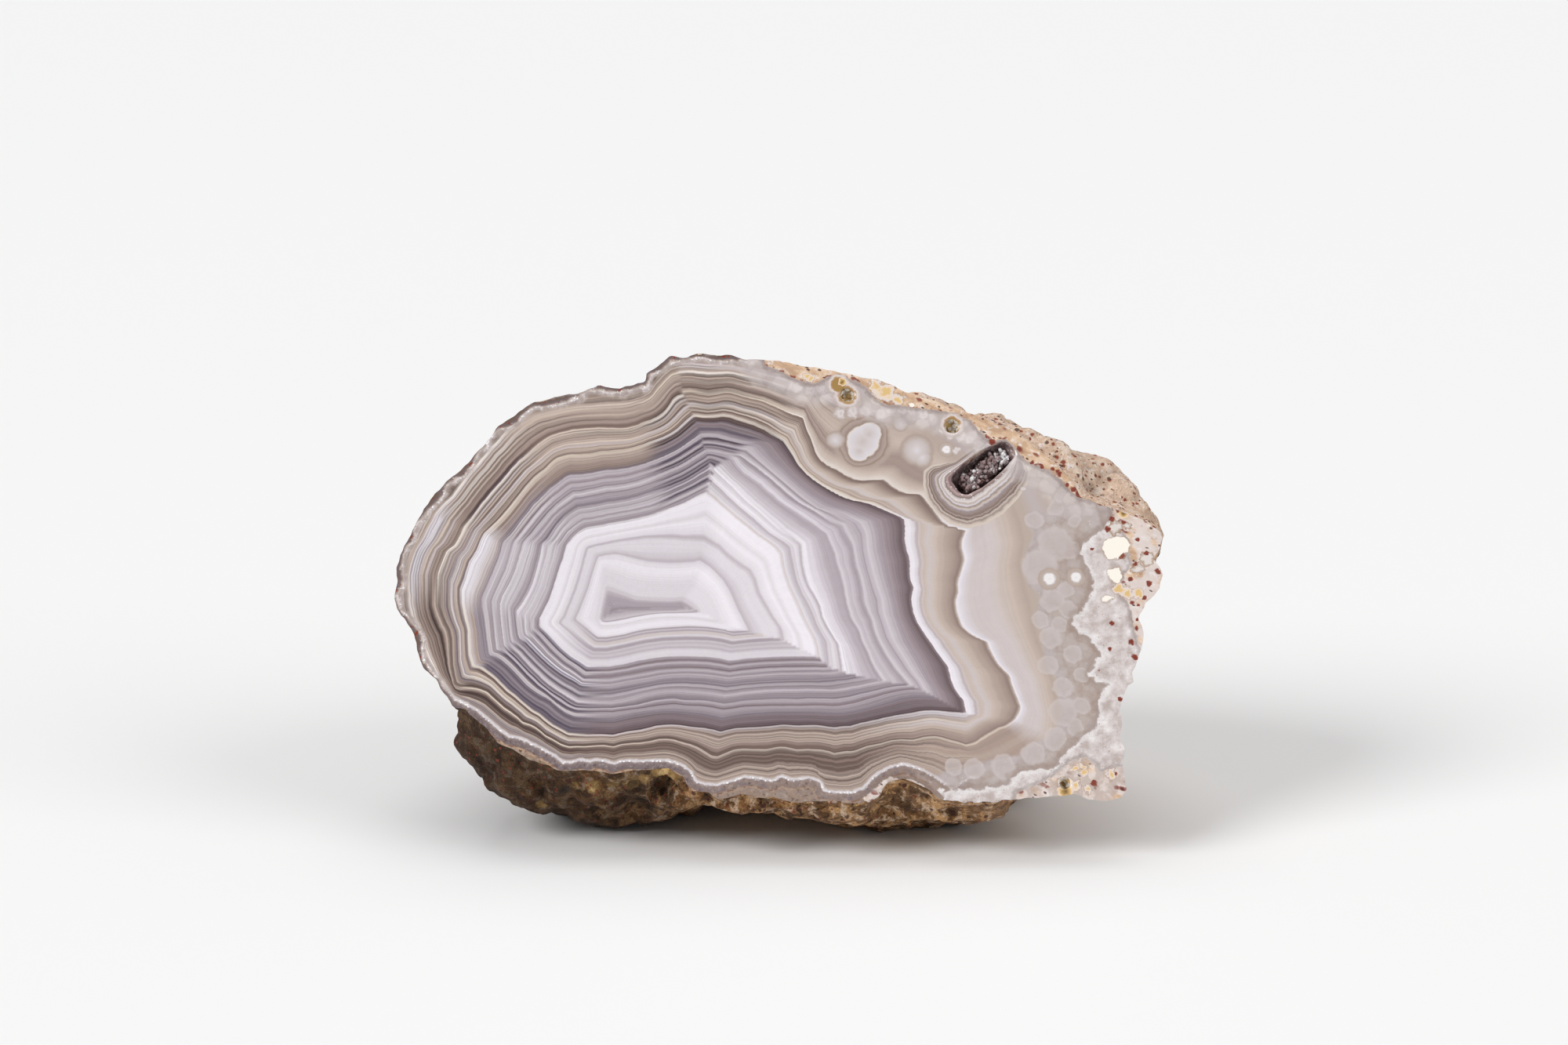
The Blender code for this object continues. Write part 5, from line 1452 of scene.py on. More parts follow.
@dataclass(frozen=True)
class BandedAgate:
    """The polished, banded face and the stony rind of the agate."""

    plane: FacePlane
    rind_ambers: list[tuple[Vector, float]]
    face_roughness: float = 0.17
    rind_roughness: float = 0.93
    rock_dullness: float = 0.22
    crust_dullness: float = 0.12
    roughness_spread: float = 0.08
    face_coat: float = 0.3
    coat_roughness: float = 0.06
    rind_relief_mm: float = 0.75
    rind_warmth: float = 1.12
    wander_levels: float = 0.045
    band_contrast: float = 1.13
    band_gain: float = 1.05
    hairlines_a_level: float = 34.0
    lines_a_level: float = 15.0
    fibres_a_stretch: float = 26.0

    def by_side(
        self, paint: Paint, level: Wire, zone: tuple[float, float], charts: dict[Side, Chart]
    ) -> Wire:
        """Colour one zone of levels, with each side of the stone in its own bands.

        Args:
            paint: the material.
            level: the level at the point.
            zone: the zone's lowest and highest level.
            charts: the bands of each side.

        Returns:
            The colour.
        """
        (_, first), *others = charts.items()
        colour = paint.chart(level, zone, first)
        for side, chart in others:
            bands = paint.chart(level, zone, chart)
            colour = paint.mix(paint.attribute(side_attribute(side)), colour, bands)
        return colour

    def bands(self, paint: Paint, face: Wire, level: Wire) -> Wire:
        """Colour the bands, from the outermost line to the eye.

        Args:
            paint: the material.
            face: the place on the face.
            level: the level of the bands there.

        Returns:
            The colour.
        """
        outer = self.by_side(paint, level, OUTER_ZONE, OUTER_CHARTS)
        corner = paint.chart(level, OUTER_ZONE, LOW_RIGHT_CHART)
        outer = paint.mix(paint.attribute("low_right"), outer, corner)
        middle = self.by_side(paint, level, MIDDLE_ZONE, MIDDLE_CHARTS)
        inner = self.by_side(paint, level, INNER_ZONE, INNER_CHARTS)
        below = paint.attribute("below_heart")
        heart = paint.mix(
            below, paint.chart(level, HEART_ZONE, HEART_ABOVE), paint.chart(level, HEART_ZONE, HEART_FLOOR)
        )
        core = paint.mix(
            below, paint.chart(level, CORE_ZONE, CORE_ABOVE), paint.chart(level, CORE_ZONE, CORE_FLOOR)
        )
        colour = outer
        further = ((MIDDLE_ZONE, middle), (INNER_ZONE, inner), (HEART_ZONE, heart), (CORE_ZONE, core))
        for (start, _), bands in further:
            colour = paint.mix(level.rise(start - ZONE_SEAM, start + ZONE_SEAM), colour, bands)
        tint = self.fine_lines(paint, face, level)
        deeper = paint.node("ShaderNodeGamma", None, {"Color": colour, "Gamma": self.band_contrast})
        paler_right = paint.attribute("at_right") * level.rise(2.98, 3.02) * 0.08
        return paint.scaled(deeper, (tint + 1.0) * (paler_right + self.band_gain))

    def fine_lines(self, paint: Paint, face: Wire, level: Wire) -> Wire:
        """Draw the fine lines along the bands, the fibres across them, and the agate's cloud and grain.

        Args:
            paint: the material.
            face: the place on the face.
            level: the level of the bands there.

        Returns:
            How much paler the bands are there, below zero where they are darker.
        """
        around = paint.attribute("around")
        hairlines = paint.noise(paint.vector(level * self.hairlines_a_level, around * 0.5), 1.0, 1.0) - 0.5
        lines = paint.noise(paint.vector(level * self.lines_a_level, around * 0.45), 1.0, 2.0)
        drawn = lines.rise(0.5, 0.42) * -0.17 + lines.rise(0.56, 0.64) * 0.11
        drawn = drawn * (level.rise(3.1, 2.9) * 1.1 + 1.0)
        across = paint.vector(level * 3.0, around * self.fibres_a_stretch)
        fibres = paint.noise(across, 1.0, 1.0) - 0.5
        cloud = paint.noise(face, 0.35, 2.0) - 0.5
        grain = paint.noise(face, 9.0, 2.0) - 0.5
        outside_heart = level.rise(7.3, 6.6)
        smooth_right = 1.0 - paint.attribute("at_right") * (level.rise(3.1, 2.9) * 0.37 + 0.55)
        fine = hairlines * (outside_heart * 0.34 + 0.1) + drawn * (outside_heart * 0.8 + 0.2)
        return fine * smooth_right + fibres * 0.07 + cloud * 0.05 + grain * 0.13

    def spots(self, paint: Paint, place: Wire, look: SpotLook, colour: Wire) -> Wire:
        """Paint one kind of round spots over the face.

        Args:
            paint: the material.
            place: the place on the face.
            look: the kind of spots.
            colour: what lies under them.

        Returns:
            The colour with the spots.
        """
        middles = []
        for x, y, radius in look.spots:
            u, v = FacePlane.from_photo([(x, y)])[0]
            middles.append((Vector((u, v, 0.0)), radius * FacePlane.MM_PER_PIXEL[0]))
        near = paint.nearest(place, middles)
        tones = paint.chart(near, SpotLook.REACH, look.tones)
        return paint.mix(near.rise(look.gone_at, look.full_to), colour, tones)

    def right_ground(self, paint: Paint, face: Wire, level: Wire, colour: Wire) -> Wire:
        """Paint the bubbly agate between the bands and the white crust at the right.

        Args:
            paint: the material.
            face: the place on the face.
            level: the level of the bands there.
            colour: the bands' colour.

        Returns:
            The colour with the bubbles.
        """
        outside = (1.0 - level) * OUTSIDE_MM_A_LEVEL
        ground = paint.chart(outside, (0.0, 6.0), [
            (0.0, T.TAN), (0.8, T.TAN), (2.0, T.ROSE), (3.5, T.TAN), (5.0, T.DEEP_TAN),
            (6.0, T.GROUND_TAUPE),
        ])
        colour = paint.mix(level.rise(1.02, 0.9) * paint.attribute("at_right"), colour, ground)
        inside = paint.attribute("in_bubbles") + (paint.noise(face, 0.8, 2.0) - 0.5) * 0.5
        bubbly = paint.chart(inside, (0.0, 7.0), [
            (0.0, T.BUBBLE), (0.5, T.ROSE), (2.0, T.TAN), (4.0, T.GROUND_BEIGE), (6.0, T.GROUND_TAUPE),
            (7.0, T.GROUND_TAUPE),
        ])
        uneven = paint.shaken(face, 1.0, 0.6)
        for per_mm, share in ((0.42, 0.75), (0.85, 0.6), (1.9, 0.35)):
            near, chosen = paint.cell_pair(uneven, per_mm)
            bubbly = paint.mix(near.rise(0.66, 0.35) * (chosen * 0.8 + 0.2) * share, bubbly, T.BUBBLE)
            bubbly = paint.mix(near.bump_at(0.68, 0.14) * share * 0.5, bubbly, T.BUBBLE_EDGE)
        glints, chosen = paint.cell_pair(face, 3.1)
        bubbly = paint.mix(glints.rise(0.2, 0.1) * chosen.rise(0.8, 0.84) * 0.7, bubbly, T.CRUST_BRIGHT)
        bubbly = paint.scaled(bubbly, 0.93)
        return paint.mix(inside.rise(-0.1, 0.3), colour, bubbly)

    def slot_rings(self, paint: Paint, face: Wire, colour: Wire, level: Wire) -> Wire:
        """Paint the thin bands that wrap the oblong hollow.

        Args:
            paint: the material.
            face: the place on the face.
            colour: what lies under them.
            level: the level of the bands around them.

        Returns:
            The colour with the rings.
        """
        beyond = -1.0 * paint.attribute("in_slot").at_most(0.0)
        within = paint.attribute("in_surround")
        share = beyond / (beyond + within.at_least(0.0005))
        uneven = paint.noise(face, 1.2, 4.0, 0.6) - 0.5
        rings = paint.chart(share + uneven * 0.14, (0.0, 1.0), [
            (0.0, T.SMOKE_DARK), (0.08, T.SMOKE), (0.16, T.BROWN), (0.2, T.BUBBLE), (0.26, T.CRUST),
            (0.31, T.TAN), (0.36, T.MILK), (0.41, T.TAUPE), (0.47, T.PALE_TAN), (0.5, T.BUBBLE),
            (0.54, T.PLUM), (0.6, T.TAUPE), (0.66, T.BROWN), (0.7, T.DEEP_TAN), (0.74, T.DARK_BROWN),
            (0.79, T.PALE_TAN), (0.84, T.TAUPE), (0.9, T.PALE_TAN), (0.96, T.CREAM), (1.0, T.PALE_TAN),
        ])
        glints, chosen = paint.cell_pair(face, 4.5)
        sparkle = glints.rise(0.4, 0.2) * chosen.rise(0.6, 0.7) * share.rise(0.4, 0.1)
        rings = paint.mix(sparkle * 0.8, rings, T.GLINT)
        mask = within.rise(0.0, 0.12) * level.rise(2.02, 1.98)
        return paint.mix(mask, colour, rings)

    def crust(self, paint: Paint, face: Wire, colour: Wire) -> Wire:
        """Paint the mottled white crust along the right margin.

        Args:
            paint: the material.
            face: the place on the face.
            colour: what lies under it.

        Returns:
            The colour with the crust.
        """
        edge = paint.attribute("in_crust") + (paint.noise(face, 1.3, 4.0) - 0.5) * 1.3
        mottled = paint.noise(face, 0.8, 4.0, 0.55)
        grain = paint.noise(face, 6.0, 2.0)
        white = paint.mix(mottled.rise(0.34, 0.54), T.CRUST_SHADE, T.CRUST)
        white = paint.mix(mottled.rise(0.5, 0.7) * 0.8, white, T.CRUST_BRIGHT)
        white = paint.mix(edge.bump_at(0.3, 0.45) * 0.75, white, T.CRUST_BRIGHT)
        white = paint.scaled(white, grain * 0.3 + mottled * 0.4 + 0.55)
        for per_mm, size, least, tone in ((2.6, 0.22, 0.66, T.BARK), (1.1, 0.16, 0.72, T.SPECK)):
            flecks, chosen = paint.cell_pair(face, per_mm)
            mask = flecks.rise(size, size * 0.5) * chosen.rise(least, least + 0.05)
            white = paint.mix(mask * 0.75, white, tone)
        colour = paint.mix(edge.bump_at(-0.2, 0.6) * 0.5, colour, T.GROUND_TAUPE)
        return paint.mix(edge.rise(0.0, 0.16), colour, white)

    def rock(self, paint: Paint, place: Wire, paler: Value) -> Wire:
        """Colour the tan rock with its red-brown specks.

        Args:
            paint: the material.
            place: the place, in millimetres.
            paler: how whitish the rock is there.

        Returns:
            The colour.
        """
        streaks = paint.noise(place, 0.8, 4.0, 0.6)
        blotches = paint.noise(place, 2.1, 3.0, 0.6)
        rock = paint.mix(streaks.rise(0.34, 0.54), T.MATRIX_DIM, T.MATRIX)
        rock = paint.mix(streaks.rise(0.48, 0.66), rock, T.MATRIX_PALE)
        rock = paint.mix(paler, rock, T.CRUST)
        rock = paint.mix(blotches.rise(0.54, 0.7) * 0.65, rock, T.CRUST_BRIGHT)
        rock = paint.mix(blotches.rise(0.42, 0.28) * 0.35, rock, T.BARK)
        ragged = paint.shaken(place, 2.4, 0.26)
        for per_mm, size, least, tone in ((1.05, 0.3, 0.38, T.SPECK), (1.9, 0.27, 0.5, T.SPECK_DARK)):
            near, chosen = paint.cell_pair(ragged, per_mm)
            often = chosen + (streaks - 0.5) * 0.9
            mask = near.rise(size, size * 0.55) * often.rise(least, least + 0.04)
            rock = paint.mix(mask * 0.9, rock, tone)
        return rock

    def matrix_rock(self, paint: Paint, face: Wire, colour: Wire) -> Wire:
        """Paint the rock outside the agate, at the upper right and at the right margin.

        Args:
            paint: the material.
            face: the place on the face.
            colour: what lies under it.

        Returns:
            The colour with the rock.
        """
        edge = paint.attribute("in_matrix") + (paint.noise(face, 1.8, 4.0) - 0.5) * 0.8
        flowing = paint.node(
            "ShaderNodeMapping", {"vector_type": "TEXTURE"},
            {"Vector": face, "Rotation": (0.0, 0.0, math.radians(-27.0)), "Scale": (1.7, 1.0, 1.0)},
        )
        low = paint.node("ShaderNodeSeparateXYZ", None, {0: face}, "Y")
        chalky = low.rise(9.5, 5.0) * paint.noise(face, 0.6, 3.0).rise(0.34, 0.5) * 0.8
        rock = self.rock(paint, flowing, chalky)
        dull = low.rise(-14.0, -18.0) * paint.noise(face, 0.8, 3.0).rise(0.4, 0.56)
        rock = paint.mix(dull * 0.6, rock, T.GROUND_BEIGE)
        red = edge.bump_at(0.1, 0.3) * paint.noise(face, 1.3, 3.0).rise(0.48, 0.62) * low.rise(5.0, 8.0)
        rock = paint.mix(red, rock, T.SPECK)
        cells, chosen = paint.cell_pair(paint.shaken(face, 0.9, 0.8), 0.75)
        pale = paint.mix(cells.rise(0.35, 0.7), T.CRUST, T.BUBBLE)
        pale = paint.mix(chosen.rise(0.2, 0.9) * 0.4, pale, T.PLUM)
        margin = edge.rise(-2.9, -1.5) * low.rise(5.0, 8.0) * edge.rise(0.3, -0.1)
        colour = paint.mix(margin * 0.7, colour, pale)
        colour = paint.mix(edge.bump_at(-0.15, 0.4) * 0.5, colour, T.BROWN)
        return paint.mix(edge.rise(-0.04, 0.1), colour, rock)

    def rim(self, paint: Paint, face: Wire, colour: Wire) -> Wire:
        """Paint the sparkling line and the dark skin outside the bands, away from the right side.

        Args:
            paint: the material.
            face: the place on the face.
            colour: what lies under them.

        Returns:
            The colour with the rim.
        """
        uneven = paint.noise(face, 2.4, 3.0) - 0.5
        beyond = -1.0 * paint.attribute("in_bands") + uneven * 0.28
        skin = paint.chart(beyond, (-0.3, 1.7), [
            (-0.3, T.PALE_TAN), (-0.14, T.ROSE_WHITE), (-0.04, T.MILK), (0.06, T.CRUST), (0.14, T.PLUM),
            (0.26, T.BROWN), (0.5, T.DARK_PLUM), (0.78, T.DARK_BROWN), (0.92, T.MATRIX_DIM),
            (1.08, T.MATRIX_DIM), (1.7, T.BARK),
        ])
        skin = paint.mix(beyond.rise(0.98, 1.12), skin, paint.scaled(self.rock(paint, face, 0.0), 0.5))
        near, chosen = paint.cell_pair(face, 4.2)
        sparkle = near.rise(0.5, 0.3) * chosen.rise(0.4, 0.6)
        patchy = paint.noise(face, 1.1, 3.0, 0.6)
        skin = paint.mix(patchy.rise(0.56, 0.4) * beyond.rise(-0.1, 0.1) * 0.5, skin, T.DEEP_PLUM)
        faded = patchy.rise(0.5, 0.68) * beyond.rise(0.1, 0.2) * beyond.rise(0.9, 0.7)
        skin = paint.mix(faded * 0.25, skin, T.ROSE)
        across = paint.node("ShaderNodeSeparateXYZ", None, {0: face}, "X")
        rosy = across.rise(-10.0, -4.0) * patchy.rise(0.36, 0.5) * beyond.rise(0.1, 0.3)
        skin = paint.mix(rosy * 0.65, skin, T.GROUND_TAUPE)
        worn = paint.noise(face, 2.0, 4.0, 0.6)
        skin = paint.mix(worn.rise(0.52, 0.66) * beyond.rise(0.06, 0.2) * 0.25, skin, T.PALE_TAN)
        skin = paint.mix(worn.rise(0.44, 0.34) * beyond.rise(0.1, 0.3) * 0.7, skin, T.UMBER)
        rust_line = beyond.bump_at(0.92, 0.16) * paint.noise(face, 1.5, 2.0).rise(0.46, 0.58)
        skin = paint.mix(rust_line * 0.8, skin, T.RUST)
        skin = paint.mix(sparkle * beyond.bump_at(0.04, 0.22), skin, T.GLINT)
        bottom = paint.attribute("at_bottom")
        colour = paint.mix(beyond.rise(-0.3, -0.1) * bottom, colour, skin)

        inwards = paint.attribute("in_rim") + uneven * 0.3 + (paint.noise(face, 0.3, 2.0) - 0.5) * 1.8
        edge = paint.chart(inwards, (-0.4, 1.4), [
            (-0.4, T.BARK_DARK), (0.02, T.DARK_BROWN), (0.16, T.DARK_PLUM), (0.28, T.BROWN), (0.36, T.TAN),
            (0.52, T.CRUST), (0.66, T.ROSE), (0.78, T.BUBBLE), (0.92, T.PALE_TAN), (1.4, T.PALE_TAN),
        ])
        edge = paint.mix(patchy.rise(0.56, 0.42) * inwards.rise(0.2, 0.4) * 0.6, edge, T.TAUPE)
        edge = paint.mix(sparkle * inwards.bump_at(0.5, 0.4) * patchy.rise(0.46, 0.56), edge, T.GLINT)
        rusty = paint.noise(face, 1.6, 2.0).rise(0.6, 0.68) * inwards.rise(0.5, 0.2)
        edge = paint.mix(rusty, edge, T.SPECK)
        elsewhere = (1.0 - paint.attribute("at_right")) * (1.0 - bottom)
        return paint.mix(inwards.rise(1.2, 0.6) * elsewhere, colour, edge)

    def hollow_walls(self, paint: Paint, solid: Wire, colour: Wire) -> Wire:
        """Paint the walls of the hollows, with fine crystals on them.

        Args:
            paint: the material.
            solid: the place in space, in millimetres.
            colour: the rind's colour.

        Returns:
            The colour with the walls.
        """
        crystals, chosen = paint.cell_pair(solid, 2.8)
        smoky = paint.mix(chosen.rise(0.3, 0.75), T.SMOKE_DARK, T.SMOKE)
        smoky = paint.mix(crystals.rise(0.4, 0.2) * chosen.rise(0.44, 0.5), smoky, T.CRUST)
        honey = paint.mix(chosen.rise(0.2, 0.4), T.OLIVE, T.AMBER)
        honey = paint.mix(chosen.rise(0.4, 0.5), honey, T.CHALK)
        honey = paint.mix(crystals.rise(0.5, 0.7) * 0.4, honey, T.BARK_DARK)
        colour = paint.mix(paint.attribute("slot_wall"), colour, smoky)
        return paint.mix(paint.attribute("round_wall"), colour, honey)

    def rind(self, paint: Paint, solid: Wire) -> tuple[Wire, Wire]:
        """Paint the weathered rind, with painted shade low down, towards the lower left and in its pits, and
        painted light on its upper part.

        Args:
            paint: the material.
            solid: the place in space, in millimetres.

        Returns:
            The colour and the height of its grain.
        """
        apart = paint.node("ShaderNodeSeparateXYZ", None, {0: solid}, "X")
        high = paint.node("ShaderNodeSeparateXYZ", None, {0: solid}, "Z")
        broad = paint.noise(solid, 0.11, 3.0, 0.55)
        stain = paint.noise(solid, 0.3, 3.0, 0.55)
        lumps = paint.noise(solid, 1.0, 4.0, 0.6)
        grains = paint.noise(solid, 5.0, 3.0, 0.6)
        colour = paint.mix(broad.rise(0.4, 0.6), T.BARK, T.BARK_GREY)
        paler = (apart * 0.012 + high * 0.016 - 0.35 + broad * 0.5).rise(0.05, 0.7)
        knobs = paint.noise(paint.shaken(solid, 0.7, 1.2), 0.55, 4.0, 0.62)
        colour = paint.mix(stain.rise(0.5, 0.3) * 0.8, colour, T.BARK_DARK)
        # partly the rind's own mottling, partly painted highlight and shade: knobs and lumps that stand up in
        # the bump are paler, low ones darker
        colour = paint.mix(knobs.rise(0.5, 0.6), colour, T.BARK_PALE)
        colour = paint.mix(lumps.rise(0.52, 0.64) * 0.85, colour, T.MATRIX_PALE)
        colour = paint.mix(knobs.rise(0.46, 0.38) * 0.85, colour, T.BARK_DARK)
        colour = paint.mix(lumps.rise(0.44, 0.34) * 0.85, colour, T.BARK_DEEP)
        # painted shade: the rind darker towards its lower left
        darker = (apart * -0.026 + high * -0.02 + broad * 0.6).rise(0.1, 0.95)
        colour = paint.mix(darker * 0.9, colour, T.BARK_DEEP)
        # partly the rind's own grain, partly painted highlight and shade: the fine grain that also raises the
        # bump brightens and darkens the colour
        colour = paint.scaled(colour, grains * 1.5 + 0.15)
        shoulder = high.rise(24.0, 33.0)
        colour = paint.mix(paler, colour, self.rock(paint, solid, shoulder * 0.3))
        # painted shade: the lower rind made deeper and darker in colour
        deeper = paint.scaled(paint.node("ShaderNodeGamma", None, {"Color": colour, "Gamma": 1.3}), 1.06)
        colour = paint.mix(high.rise(17.0, 9.0) * 0.7, colour, deeper)
        # painted light: the upper rind made brighter
        colour = paint.scaled(colour, shoulder * 0.14 + 1.0)
        warmth = {"Color": colour, "Saturation": self.rind_warmth}
        colour = paint.node("ShaderNodeHueSaturation", None, warmth)
        near_amber = paint.nearest(paint.shaken(solid, 1.2, 0.8), self.rind_ambers)
        colour = paint.mix(near_amber.rise(1.25, 0.8) * stain.rise(0.2, 0.5) * 0.6, colour, T.OLIVE)
        colour = paint.mix(near_amber.rise(0.9, 0.3) * lumps.rise(0.45, 0.6) * 0.8, colour, T.AMBER)
        # painted shade: near black in the carved pits and hollows of the rind, weaker on the paler rock and
        # the upper rind
        sunk = paint.attribute("carved") + (lumps - 0.5) * 0.6
        shadowed = sunk.rise(0.15, 0.6) * (0.9 - paler * 0.55) * (1.0 - shoulder * 0.6)
        colour = paint.mix(shadowed, colour, T.PIT_SHADE)
        for per_mm, size, least, tone in ((0.95, 0.3, 0.5, T.SPECK_DARK), (1.5, 0.28, 0.5, T.SPECK)):
            near, chosen = paint.cell_pair(paint.shaken(solid, 1.5, 0.4), per_mm)
            often = chosen + (stain - 0.5) * 1.4
            mask = near.rise(size, size * 0.6) * often.rise(least, least + 0.03)
            colour = paint.mix(mask * 0.85, colour, tone)
        fine = paint.noise(solid, 2.4, 4.0, 0.65)
        return colour, knobs * 0.8 + lumps * 0.6 + fine * 0.5 + grains * 0.25

    def make(self) -> bpy.types.Material:
        """Build the material.

        Returns:
            The material.
        """
        paint = Paint("banded_agate_finish")
        place = paint.node("ShaderNodeTexCoord", output="Object")
        solid = paint.scaled(place, 1.0 / MM)
        origin = self.plane.origin
        u = (paint.dot(place, self.plane.right) - origin.dot(self.plane.right)) * (1.0 / MM)
        v = (paint.dot(place, self.plane.up) - origin.dot(self.plane.up)) * (1.0 / MM)
        depth = (origin.dot(self.plane.outward) - paint.dot(place, self.plane.outward)) * (1.0 / MM)
        face = paint.vector(u, v)
        is_face = depth.rise(FacePlane.SKIN_MM, 0.5 * FacePlane.SKIN_MM)
        wander = paint.noise(face, 0.9, 3.0) - 0.5
        level = paint.attribute("strata") + wander * self.wander_levels

        colour = self.bands(paint, face, level)
        colour = self.right_ground(paint, face, level, colour)
        uneven = paint.shaken(face, 1.6, 0.3)
        for name in ("halo_eyes", "faint_eyes"):
            colour = self.spots(paint, uneven, FACE_SPOTS[name], colour)
        colour = self.slot_rings(paint, face, colour, level)
        bubbles = self.spots(paint, paint.shaken(face, 0.8, 0.9), FACE_SPOTS["bubbles"], colour)
        colour = paint.mix(0.6, colour, bubbles)
        colour = self.spots(paint, paint.shaken(face, 3.0, 0.3), FACE_SPOTS["small_eyes"], colour)
        colour = self.spots(paint, paint.shaken(face, 1.2, 1.1), FACE_SPOTS["sparkling_lumps"], colour)
        colour = self.rim(paint, face, colour)
        colour = self.crust(paint, face, colour)
        colour = self.matrix_rock(paint, face, colour)
        ragged = paint.shaken(face, 2.2, 0.5)
        melted = paint.shaken(face, 1.5, 1.3)
        for name, look in MARGIN_SPOTS.items():
            colour = self.spots(paint, melted if name in ("ambers", "lenses") else ragged, look, colour)
        chalk = paint.attribute("in_chalk") + (paint.noise(face, 1.6, 4.0, 0.6) - 0.5) * 0.75
        colour = paint.mix(chalk.bump_at(-0.06, 0.16) * 0.35, colour, T.BARK)
        colour = paint.mix(chalk.rise(0.0, 0.06), colour, T.CHALK)

        rind, height = self.rind(paint, solid)
        rind = self.hollow_walls(paint, solid, rind)
        paint.feed(paint.surface.inputs["Base Color"], paint.mix(is_face, rind, colour))
        unpolished = (paint.attribute("in_matrix") + 0.1).rise(0.0, 0.2) * self.rock_dullness
        powdery = (paint.attribute("in_crust") + 0.1).rise(0.0, 0.2) * self.crust_dullness
        unpolished = unpolished.at_least(powdery)
        smooth = self.rind_roughness - is_face * (self.rind_roughness - self.face_roughness) + unpolished
        uneven = paint.noise(solid, 2.0) * self.roughness_spread
        paint.feed(paint.surface.inputs["Roughness"], smooth + uneven)
        paint.surface.inputs["Coat Roughness"].default_value = self.coat_roughness
        paint.feed(paint.surface.inputs["Coat Weight"], is_face * self.face_coat)
        relief = height * (1.0 - is_face)
        paint.feed(paint.surface.inputs["Normal"], paint.bump(relief, self.rind_relief_mm))
        return paint.material


def side_attribute(side: Side) -> str:
    """Name the attribute that holds how much of a side's bands replaces those before it."""
    return "toward_" + side.name.lower()


# The stone

